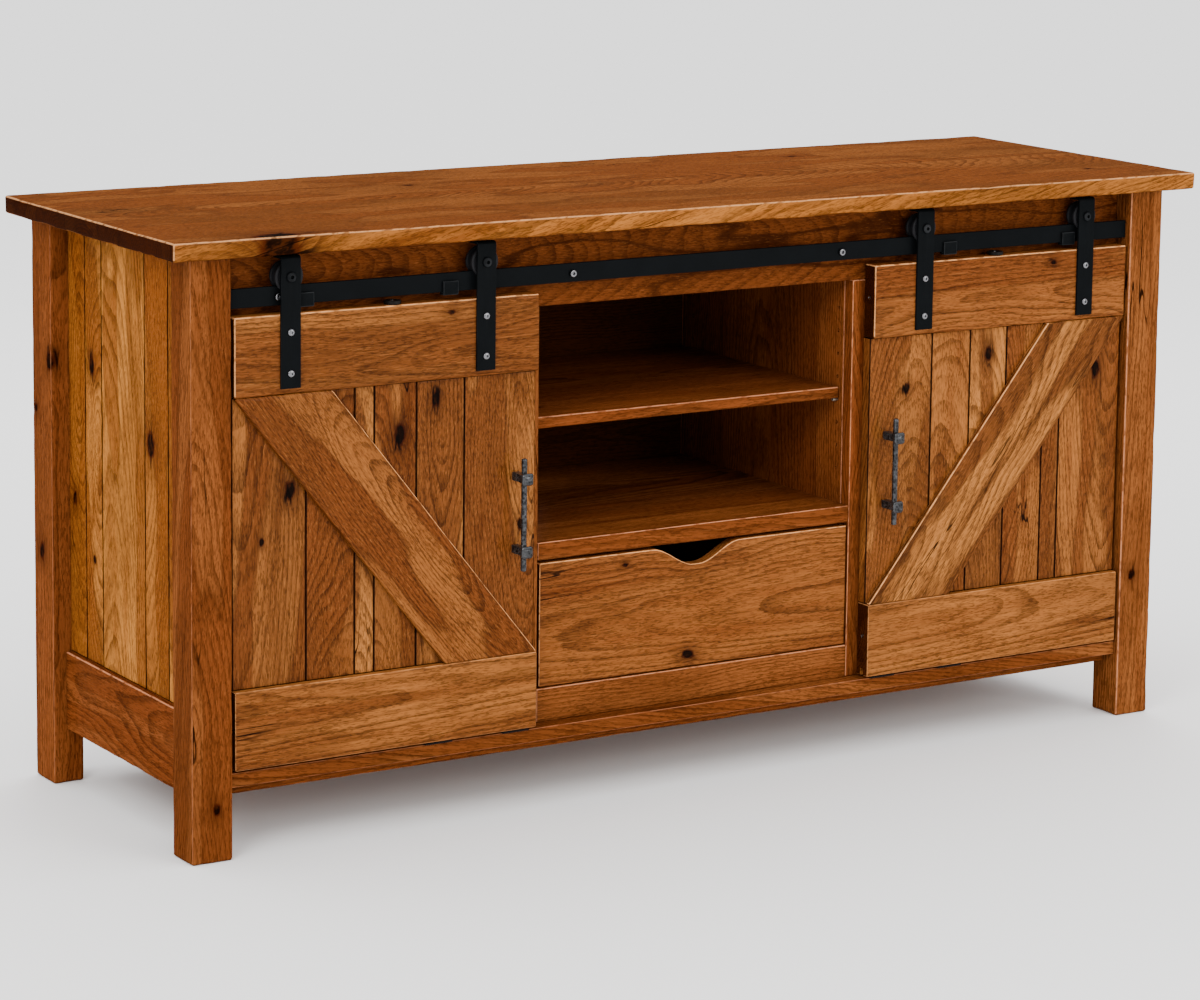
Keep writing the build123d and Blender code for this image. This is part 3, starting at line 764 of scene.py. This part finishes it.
def wood_piece(node, long_axis, wide_axis, seed, ease=2.0, cell=9.0, amount=0.5, knots=None, share=0.0,
               tones=None, figure=None, shape=None, seams=False, rubbed_and_lit=EDGE_LIGHT_DIRECTION, front_light_tone=None):
    """Replaces a CAD node of plain boards by rounded, knocked ones, whose edges are drawn pale as wear and as
    a painted highlight, most where they face the given light direction.
    """
    boards = BoardMesh()
    for number, (low, high) in enumerate(solids(node)):
        rng = np.random.default_rng(seed * 101 + number)
        points, faces, edge, out = rounded_board(low, high, ease * MM, cell * MM)
        points = wear_board(points, edge, out, rng, amount * MM)
        size = high - low
        length, width, thick = size[long_axis], size[wide_axis], size[3 - long_axis - wide_axis]
        spots = sized_knots((knots or {}).get(number, []), length, width, thick)
        spots += random_knots(rng, length, width, share)
        # painted highlight: the edge mark is strongest on edges facing the light direction; on seams it turns
        # negative, for the painted shade in the gaps
        edge = -edge if seams else edge * np.clip(0.62 + 0.6 * (out @ np.array(rubbed_and_lit)), 0.4, 1.0)
        axes = AXES[long_axis], AXES[wide_axis]
        if shape:
            points, axes = shape(points, low, high, axes)
        tone = tones[number] if tones else None
        # painted light: the top's front edge face gets a tone below 0, which the wood material draws lighter
        if front_light_tone is not None:
            tone = np.where(points[:, Y] < low[Y] + 1.5 * MM, front_light_tone, tone)
        boards.add(points, faces, edge, axes, seed * 977 + number, spots, tone, figure)
    add_piece(f"{node}_wood", boards.build(node), node)


def cut_across(mesh, low, high, axis, margin, cell):
    """Cuts a mesh with planes across an axis, from one near each end, in even steps."""
    gap = high[axis] - low[axis] - 2 * margin
    steps = max(1, round(gap / cell))
    for step in range(steps + 1):
        spot = low.copy()
        spot[axis] += margin + gap * step / steps
        parts = mesh.verts[:] + mesh.edges[:] + mesh.faces[:]
        bmesh.ops.bisect_plane(mesh, geom=parts, plane_co=spot, plane_no=AXES[axis])


def cad_wood_piece(node, long_axis, wide_axis, seed, cell=30.0, share=0.3, tone=None, figure=None):
    """Replaces a CAD node by a copy of its mesh, cut finely enough to carry the grain and its knots."""
    mesh = welded(node, 0.02)
    low, high = (np.array(c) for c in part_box(node))
    margin = 5 * MM
    for axis in (long_axis, wide_axis):
        cut_across(mesh, low, high, axis, margin, cell * MM)
    bmesh.ops.triangulate(mesh, faces=mesh.faces)
    points, faces = listed(mesh)
    depth = np.minimum(points - low, high - points)
    edge = np.clip(1 - np.sort(depth, axis=1)[:, 1] / margin, 0, 1)
    size = high - low
    spots = random_knots(np.random.default_rng(seed * 101), size[long_axis], size[wide_axis], share)
    boards = BoardMesh()
    axes = AXES[long_axis], AXES[wide_axis]
    boards.add(points, np.array(faces), edge, axes, seed * 977, spots, tone, figure)
    add_piece(f"{node}_wood", boards.build(node, 32), node)


def scooped(points, low, high, axes):
    """Pulls the drawer front's top edge down into its finger scoop."""
    flat, shoulder, deep, reach = 4.2 * MM, 65.8 * MM, 26.5 * MM, 70 * MM
    middle = (low[X] + high[X]) / 2
    share = np.clip((np.abs(points[:, X] - middle) - flat) / shoulder, 0, 1)
    drop = deep * (1 - share * share * (3 - 2 * share))
    hold = np.clip((points[:, Z] - (high[Z] - reach)) / reach, 0, 1)
    points = points.copy()
    points[:, Z] -= drop * hold
    return points, axes


def narrowed(offset, size, foot, rim):
    """Squeezes places along a width of size into a width of foot; a rim at each end keeps its own scale."""
    near = np.minimum(offset, size - offset)
    share = (foot / 2 - rim) / (size / 2 - rim)
    kept = np.where(near < rim, near, rim + (near - rim) * share)
    return np.where(offset < size / 2, kept, foot - kept)


def leaning(side):
    """Shears an upright board into the door's diagonal brace, and turns its grain along it."""
    foot, rim = 137 * MM, 9 * MM

    def shape(points, low, high, _):
        wide, _, tall = high - low
        travel = wide - foot
        squeezed = low[X] + narrowed(points[:, X] - low[X], wide, foot, rim)
        rise = (points[:, Z] - low[Z]) / tall
        points = points.copy()
        points[:, X] = squeezed + travel * (rise if side > 0 else 1 - rise)
        run = np.array([side * travel, 0, tall])
        run /= np.linalg.norm(run)
        return points, (run, np.cross(run, AXES[Y]))
    return shape


# ---- sheet metal and small plastic ----
def bevelled_piece(node, width, segments=2):
    """Replaces a CAD node by its own shape with softened edges, which catch the light."""
    mesh = welded(node, 0.01)
    mark = mesh.faces.layers.float.new("rounded")
    sharp = [e for e in mesh.edges if len(e.link_faces) == 2 and e.calc_face_angle(0) > math.radians(40)]
    made = bmesh.ops.bevel(mesh, geom=sharp, offset=width * MM, segments=segments, profile=0.5,
                           affect="EDGES", clamp_overlap=True)
    for face in made["faces"]:
        face[mark] = 1.0
    bmesh.ops.triangulate(mesh, faces=[f for f in mesh.faces if len(f.verts) > 4])
    edge = worn_and_lit_edges([f[mark] for f in mesh.faces], "FACE")
    add_piece(f"{node}_metal", mesh_from(node, *listed(mesh), edge, 38), node)


# ---- turned pieces ----
class LatheMesh:
    """Collects turned shapes, each about an axis along X, Y or Z, into one mesh."""

    def __init__(self):
        self.points, self.faces, self.edge = [], [], []

    def ring(self, along, radius, centre, axis, segments, worn_and_lit):
        """Adds one ring of points, or a single point where the radius is 0, and returns their numbers."""
        first = len(self.points)
        for step in range(segments if radius else 1):
            angle = 2 * math.pi * step / segments
            a, b = radius * math.cos(angle), radius * math.sin(angle)
            spot = {X: (along, a, b), Y: (a, along, b), Z: (b, a, along)}[axis]
            self.points.append(tuple(c + s for c, s in zip(centre, spot)))
            self.edge.append(float(worn_and_lit))
        return range(first, len(self.points))

    def turn(self, profile, centre, axis=Y, segments=48, bright=()):
        """Spins (along, radius) pairs about an axis through centre; the rings numbered in bright are worn."""
        rings = [
            self.ring(along, radius, centre, axis, segments, number in bright)
            for number, (along, radius) in enumerate(profile)
        ]
        for low, high in zip(rings, rings[1:]):
            for step in range(segments):
                after = (step + 1) % segments
                corners = (low[step % len(low)], low[after % len(low)],
                           high[after % len(high)], high[step % len(high)])
                face = list(dict.fromkeys(corners))
                if len(face) > 2:
                    self.faces.append(face)

    def build(self, name, angle=38):
        made = bmesh.new()
        verts = [made.verts.new(p) for p in self.points]
        for face in self.faces:
            made.faces.new([verts[i] for i in face])
        bmesh.ops.recalc_face_normals(made, faces=made.faces)
        return mesh_from(name, self.points, listed(made)[1], worn_and_lit_edges(self.edge), angle)


def axis_of(low, high, along):
    """The middle of a turned solid, put back to 0 along its own axis."""
    centre = (low + high) / 2
    centre[along] = 0
    return centre


def quarter(steps):
    """The angles from 0 to a right angle, in even steps."""
    return [math.pi / 2 * i / steps for i in range(steps + 1)]


def dome(front, tall, radius):
    """Profile of a domed head from the crown of its front back to its seat, along Y."""
    crown = [(front + tall * 0.75 * (1 - math.cos(a)), radius * math.sin(a)) for a in quarter(6)[1:]]
    return crown + [(front + tall, radius)]


def socket_head(lathe, centre, front, tall, radius, socket):
    """A domed head with a hexagon socket in its crown."""
    lip = [(along, r) for along, r in dome(front, tall, radius) if r > socket * 1.15]
    rim = (lip[0][0] + 0.1 * MM, socket)
    floor = front + tall * 0.72
    lathe.turn([rim] + lip, centre, bright=(0, 1, 2, 3))
    lathe.turn([(floor, 0), (floor, socket), rim], centre, segments=6)


def strap_screw(lathe, low, high):
    """A domed socket screw that holds a strap to the door."""
    radius, tall, shaft, point = (high[X] - low[X]) / 2, 2.6 * MM, 2.4 * MM, 2 * MM
    centre = axis_of(low, high, Y)
    seat = low[Y] + tall
    socket_head(lathe, centre, low[Y], tall, radius, 1.75 * MM)
    lathe.turn([(seat, radius), (seat, shaft), (high[Y] - point, shaft), (high[Y], 0)], centre, segments=24)


def disc_screw(lathe, low, high):
    """The countersunk screw in the anti-jump disc."""
    radius, shaft, ease, point = (high[X] - low[X]) / 2, 2.4 * MM, 0.3 * MM, 2 * MM
    recess, recess_low, recess_high = 1.2 * MM, 1.3 * MM, 1.5 * MM
    top = high[Z]
    profile = [
        (top - recess, 0), (top - recess, recess_low), (top, recess_high), (top, radius - ease),
        (top - ease, radius), (top - 2.2 * MM, radius), (top - 2.3 * MM, shaft), (low[Z] + point, shaft),
        (low[Z], 0),
    ]
    lathe.turn(profile, axis_of(low, high, Z), axis=Z, segments=32)


def screws_piece(node):
    """The screws through the straps, and the one in the anti-jump disc."""
    lathe = LatheMesh()
    for low, high in solids(node):
        size = high - low
        screw = disc_screw if size[Z] > size[X] * 1.5 else strap_screw
        screw(lathe, low, high)
    add_piece(f"{node}_turned", lathe.build(node), node)


def end_screws_piece(door, side):
    """The screws that show in the inner ends of the door's two cross boards; the CAD leaves them out."""
    lathe = LatheMesh()
    radius, ease, proud, hidden = 3.6 * MM, 0.5 * MM, 0.5 * MM, 2 * MM
    floor = -side * proud * 0.2
    profile = [(floor, 0), (floor, 1.2 * MM), (-side * proud, 1.5 * MM), (-side * proud, radius - ease),
               (-side * proud * 0.5, radius), (side * hidden, radius)]
    for board in ("top", "bottom"):
        low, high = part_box(f"{door}_{board}_board")
        inner_end = low[X] if side > 0 else high[X]
        centre = (inner_end, (low[Y] + high[Y]) / 2, low[Z] + 0.55 * (high[Z] - low[Z]))
        lathe.turn(profile, centre, axis=X, segments=32)
    piece = put(f"{door}_end_screws", lathe.build(f"{door}_end_screws"))
    piece.data.materials.append(MATERIALS["screw_steel"])
    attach(piece, door)


def axle_bolts_piece(node):
    """The rollers' axles: a large domed head in front of the strap, and a hexagon nut behind the roller."""
    radius, shaft, tall, tip = 6.6 * MM, 4.0 * MM, 4.2 * MM, 0.6 * MM
    nut, nut_face, nut_wide, ease, past = 5.0 * MM, 6.1 * MM, 6.4 * MM, 0.4 * MM, 0.4 * MM
    lathe = LatheMesh()
    for low, high in solids(node):
        centre = axis_of(low, high, Y)
        seat, end = low[Y] + tall, high[Y]
        back = end - past
        front = back - nut
        socket_head(lathe, centre, low[Y], tall, radius, 2.4 * MM)
        shank = [(seat, radius), (seat, shaft), (end - tip, shaft), (end, shaft - tip), (end, 0)]
        lathe.turn(shank, centre, segments=32)
        hexagon = [(front, shaft), (front, nut_face), (front + ease, nut_wide), (back - ease, nut_wide),
                   (back, nut_face), (back, shaft)]
        lathe.turn(hexagon, centre, segments=6, bright=(2, 3))
    add_piece(f"{node}_turned", lathe.build(node, 25), node)


def rail_bolts_piece(node):
    """Socket cap bolts that hold the rail off the header."""
    shank, tall, ease, point = 3.0 * MM, 4.5 * MM, 0.9 * MM, 2 * MM
    socket, socket_deep = 2.3 * MM, 2.5 * MM
    lathe = LatheMesh()
    for low, high in solids(node):
        centre = axis_of(low, high, Y)
        radius, front = (high[X] - low[X]) / 2, low[Y]
        head = [(front + ease * (1 - math.sin(a)), radius - ease * (1 - math.cos(a)))
                for a in reversed(quarter(4))]
        body = [(front + tall, radius), (front + tall, shank), (high[Y] - point, shank), (high[Y], 0)]
        lathe.turn([(front, socket)] + head + body, centre, bright=(1, 2, 3, 4))
        floor = front + socket_deep
        lathe.turn([(floor, 0), (floor, socket), (front, socket)], centre, segments=6)
    add_piece(f"{node}_turned", lathe.build(node), node)


def roller_piece(node):
    """A grooved roller: eased flanges, a dished face with a raised hub, and a bearing's ring."""
    low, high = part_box(node)
    wide, outer = (high[Y] - low[Y]) / 2, (high[X] - low[X]) / 2
    groove, tread, bore, ease = 3.5 * MM, 11.5 * MM, 4.05 * MM, 1.2 * MM
    hub, dish, hub_face, ring_face = 7.6 * MM, wide - 1.3 * MM, wide - 0.2 * MM, wide - 0.9 * MM
    flange = groove + 0.9 * MM
    half = [(groove, tread), (groove + 0.3 * MM, tread + 1.2 * MM)]
    half += [(flange, outer - ease), (flange + ease, outer)]
    half += [(wide - ease * (1 - math.sin(a)), outer - ease * (1 - math.cos(a))) for a in quarter(4)]
    half += [(wide, outer - 3.2 * MM), (dish, outer - 4.2 * MM), (dish, hub + 0.9 * MM), (hub_face, hub),
             (hub_face, hub - 1.2 * MM), (ring_face, hub - 1.5 * MM), (ring_face, bore)]
    profile = [(-along, radius) for along, radius in reversed(half)] + half
    profile.append(profile[0])
    lathe = LatheMesh()
    lathe.turn(profile, tuple((low + high) / 2), segments=72)
    add_piece(f"{node}_turned", lathe.build(node), node)


def disc_piece(node):
    """The anti-jump disc on the door's top edge, with eased rims and a seat for its screw."""
    low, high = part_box(node)
    bottom, top = low[Z], high[Z]
    radius, ease, seat, bore = (high[X] - low[X]) / 2, 0.7 * MM, 4.8 * MM, 2.45 * MM
    seat_floor = top - 2.6 * MM
    profile = [
        (bottom, bore), (bottom, radius - ease), (bottom + ease, radius), (top - ease, radius),
        (top - 0.25 * ease, radius - 0.25 * ease), (top, radius - ease), (top, seat), (seat_floor, seat),
        (seat_floor, bore), (bottom, bore),
    ]
    lathe = LatheMesh()
    lathe.turn(profile, axis_of(low, high, Z), axis=Z, segments=56)
    add_piece(f"{node}_turned", lathe.build(node), node)


# ---- pulls ----
def dents(points, rng, deep):
    """How far each point of a hammered surface is beaten in."""
    beaten = 0.5 + 0.5 * ripple(points, rng, 0.0085).clip(-1, 1)
    return deep * beaten * (0.7 + 0.3 * ripple(points, rng, 0.02))


def tube_faces(rows, segments):
    """The faces of a tube of point rings, with both ends closed."""
    faces = []
    for row in range(rows - 1):
        below, above = row * segments, (row + 1) * segments
        for step in range(segments):
            after = (step + 1) % segments
            faces.append((below + step, below + after, above + after, above + step))
    faces.append(tuple(reversed(range(segments))))
    faces.append(tuple((rows - 1) * segments + step for step in range(segments)))
    return faces


def pull_bar_piece(node, seed):
    """A round forged bar, slightly uneven, beaten all over, with rounded ends."""
    low, high = (np.array(c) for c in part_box(node))
    middle = (low + high) / 2 * (1, 1, 0)
    radius = (high[X] - low[X]) / 2
    segments, rows, cap = 28, 110, 2.0 * MM
    rounding = quarter(5)[:-1]
    heights = [low[Z] + cap * (1 - math.cos(angle)) for angle in rounding]
    radii = [radius * (0.35 + 0.65 * math.sin(angle)) for angle in rounding]
    body = np.linspace(low[Z] + cap, high[Z] - cap, rows)
    heights += list(body) + [low[Z] + high[Z] - h for h in reversed(heights)]
    radii += [radius] * rows + list(reversed(radii))
    turns = [(math.cos(a), math.sin(a)) for a in np.arange(segments) * 2 * math.pi / segments]
    points = np.array([middle + (r * c, r * s, h) for h, r in zip(heights, radii) for c, s in turns])
    out = points - middle
    out[:, Z] = 0
    out /= np.linalg.norm(out, axis=1, keepdims=True)
    points = points - out * dents(points, np.random.default_rng(seed), 0.30 * MM)[:, None]
    faces = tube_faces(len(heights), segments)
    add_piece(f"{node}_forged", mesh_from(node, points, faces, worn_and_lit_edges(np.zeros(len(points)))), node)


def crowned(points, low, high, rise):
    """Domes the front of a square head by setting its rim back."""
    middle, half = (low + high) / 2, (high - low) / 2
    spread = np.maximum(*(np.abs(points[:, a] - middle[a]) / half[a] for a in (X, Z)))
    ahead = np.clip((middle[Y] - points[:, Y]) / half[Y], 0, 1)
    points[:, Y] += rise * spread ** 2 * ahead
    return points


def pull_posts_piece(node, seed):
    """Square forged stems with domed square heads in front of the bar."""
    half, head_deep, overlap = 5.5 * MM, 8.5 * MM, 1 * MM
    points, faces, edges = [], [], []
    total = 0
    for number, (low, high) in enumerate(solids(node)):
        rng = np.random.default_rng(seed + number)
        x, _, z = (low + high) / 2
        head_back = low[Y] + head_deep
        stem = (np.array([x - half, head_back - overlap, z - half]), np.array([x + half, high[Y], z + half]))
        head = (low, np.array([high[X], head_back, high[Z]]))
        for box, ease, rise in ((stem, 1.0 * MM, 0.0), (head, 4.2 * MM, 2.6 * MM)):
            spots, quads, edge, out = rounded_board(*box, ease, 1.3 * MM)
            spots = spots - out * dents(spots, rng, 0.35 * MM)[:, None]
            points.append(crowned(spots, *box, rise))
            faces.append(quads + total)
            # only the heads' rims keep a strong edge mark, which the iron draws as a painted highlight
            edges.append(edge ** 4)
            total += len(spots)
    points, faces, edges = (np.concatenate(lists) for lists in (points, faces, edges))
    add_piece(f"{node}_forged", mesh_from(node, points, faces, worn_and_lit_edges(edges)), node)


# ---- the cabinet ----
# A piece's knots are listed by board, each as (share along, share across, radius in mm, share of the depth).
TOP_KNOTS = {0: [(0.090, -0.485, 15, 0.35), (0.745, 0.31, 4), (0.33, 0.22, 4), (0.93, -0.30, 3)]}
FRONT_LEFT_KNOTS = {0: [(0.09, 0.1, 4, -0.5)]}
FRONT_RIGHT_KNOTS = {0: [(0.27, -0.15, 4, -0.5)]}
BACK_LEFT_KNOTS = {0: [(0.75, -0.42, 6, 0.5), (0.41, 0.05, 6, 0.5), (0.66, 0.3, 3, 0.5)]}
SIDE_KNOTS = {
    0: [(0.30, 0.2, 3)], 1: [(0.55, 0.25, 9)], 3: [(0.68, 0.1, 6), (0.24, 0.0, 3)], 4: [(0.36, 0.15, 5)],
}
DRAWER_KNOTS = {0: [(0.475, -0.40, 5), (0.27, 0.40, 2.5)]}
LEFT_DOOR_KNOTS = {0: [(0.50, -0.1, 2.5)], 3: [(0.82, 0.1, 7)], 4: [(0.93, -0.1, 5)], 5: [(0.46, 0.3, 4)]}
RIGHT_DOOR_KNOTS = {0: [(0.80, 0.1, 4)], 2: [(0.90, 0.0, 5)], 4: [(0.72, 0.0, 3)], 5: [(0.80, 0.1, 6)]}
TOP_BOARD_KNOTS = {0: [(0.70, 0.35, 3)]}
# the left posts' edges are drawn palest where they face this way, a painted highlight
POST_EDGE_LIGHT_DIRECTION = (-0.26, -0.2, 0)


def make_top():
    # the top's front edge face is drawn lighter, as painted light
    wood_piece("top_panel", X, Y, 11, ease=3.5, cell=12, amount=1.0, knots=TOP_KNOTS, tones=[0.7],
               figure=0.8, front_light_tone=-1.0)


def make_posts():
    worn_and_lit = {"ease": 3.5, "amount": 0.8}
    wood_piece("post_front_left", Z, X, 21, **worn_and_lit, tones=[0.7], knots=FRONT_LEFT_KNOTS, rubbed_and_lit=POST_EDGE_LIGHT_DIRECTION)
    wood_piece("post_front_right", Z, X, 22, **worn_and_lit, tones=[0.25], knots=FRONT_RIGHT_KNOTS)
    wood_piece("post_back_left", Z, Y, 23, **worn_and_lit, tones=[0.7], knots=BACK_LEFT_KNOTS, rubbed_and_lit=POST_EDGE_LIGHT_DIRECTION)
    wood_piece("post_back_right", Z, Y, 24, **worn_and_lit, share=0.35)


def make_sides():
    planks = {"ease": 1.8, "amount": 0.35, "seams": True}
    wood_piece("side_planks_left", Z, Y, 31, **planks, knots=SIDE_KNOTS, figure=0.8,
               tones=[0.5, 0.25, 0.0, 0.35, 1.3])
    wood_piece("side_planks_right", Z, Y, 32, **planks, share=0.5)
    wood_piece("side_rail_left", Y, Z, 33, ease=3.0, amount=0.7, tones=[0.85], share=0.1)
    wood_piece("side_rail_right", Y, Z, 34, ease=3.0, amount=0.7, share=0.35)
    wood_piece("side_top_cleats", Y, Z, 35, ease=1.0, share=0.35)


def make_frame_and_shelves():
    # tone 1.6 darkens the header as painted shade, for the shade under the top's overhang
    wood_piece("header_rail", X, Z, 41, tones=[1.6], share=0.2, figure=2.0)
    wood_piece("face_stile_left", Z, X, 42, tones=[0.5], share=0.1)
    wood_piece("face_stile_right", Z, X, 43, tones=[0.3], share=0.1)
    wood_piece("face_bottom_rail", X, Z, 44, tones=[0.6], share=0.1)
    wood_piece("fixed_shelf", X, Y, 45, ease=1.8, tones=[0.8], share=0.1)
    wood_piece("centre_shelf", X, Y, 46, ease=2.5, tones=[0.7], share=0.1)
    wood_piece("side_shelves", X, Y, 47, share=0.35)
    wood_piece("front_lower_rail", X, Z, 48, ease=1.0, share=0.35)


def make_back_and_inner_walls():
    wood_piece("back_rails", X, Z, 49, share=0.35)
    cad_wood_piece("bottom_panel", X, Y, 50, tone=0.6, share=0.1)
    cad_wood_piece("partition_left", Z, Y, 51, tone=0.7, share=0.05)
    cad_wood_piece("partition_right", Z, Y, 52, tone=0.6, share=0.05)
    cad_wood_piece("back_panel", X, Z, 53, cell=45, share=0.02)


def make_drawer():
    wood_piece("drawer_front", X, Z, 67, cell=4, knots=DRAWER_KNOTS, tones=[0.5], figure=0.3, shape=scooped)
    wood_piece("drawer_side_left", Y, Z, 62, ease=1.0)
    wood_piece("drawer_side_right", Y, Z, 63, ease=1.0)
    wood_piece("drawer_back", X, Z, 64, ease=1.0)
    wood_piece("drawer_bottom", X, Y, 65, ease=0.8)


def make_door(door, side, seed, knots, tones, brace_tone, bottom_tone):
    wood_piece(f"{door}_top_board", X, Z, seed, ease=3.0, amount=0.9, tones=[0.5], figure=0.55,
               knots=TOP_BOARD_KNOTS)
    wood_piece(f"{door}_planks", Z, X, seed + 1, ease=1.8, amount=0.35, knots=knots, share=0.02, tones=tones,
               figure=0.7, seams=True)
    # the brace's painted edge highlight goes on its upper edge, the right one on the left door and the left
    # one on the right door
    wood_piece(f"{door}_brace", Z, X, seed + 2, ease=2.8, amount=0.6, tones=[brace_tone], figure=0.8,
               share=0.05, cell=8, shape=leaning(side), rubbed_and_lit=(-side, -0.3, 0))
    cad_wood_piece(f"{door}_bottom_board", X, Z, seed + 3, cell=22, tone=bottom_tone, share=0.1, figure=0.5)
    screws_piece(f"{door}_screws")
    axle_bolts_piece(f"{door}_axle_bolts")
    bevelled_piece(f"{door}_hangers", 0.7)
    disc_piece(f"{door}_anti_jump_disc")
    for wheel in ("inner", "outer"):
        roller_piece(f"{door}_{wheel}_roller")
    end_screws_piece(door, side)
    pull_bar_piece(f"{door}_pull_bar", seed + 5)
    pull_posts_piece(f"{door}_pull_posts", seed + 6)


def make_hardware():
    bevelled_piece("door_rail", 0.5, 1)
    bevelled_piece("rail_clips", 1.0)
    bevelled_piece("floor_guides", 0.6)
    bevelled_piece("drawer_runners", 0.4, 1)
    bevelled_piece("drawer_slide_members", 0.4, 1)
    bevelled_piece("rail_spacers", 0.3, 1)
    bevelled_piece("shelf_pins", 0.5)
    rail_bolts_piece("rail_bolts")


MATERIALS = make_materials()
make_camera()
make_floor()
make_sky()
make_lights()
make_top()
make_posts()
make_sides()
make_frame_and_shelves()
make_back_and_inner_walls()
make_drawer()
make_door("left_door", -1, 70, LEFT_DOOR_KNOTS, [0.65, 0.95, 0.3, 0.4, 0.4, 0.35], 0.7, 0.45)
make_door("right_door", 1, 90, RIGHT_DOOR_KNOTS, [0.2, 0.3, 0.15, 0.2, 0.05, 0.15], 0.3, 0.1)
make_hardware()
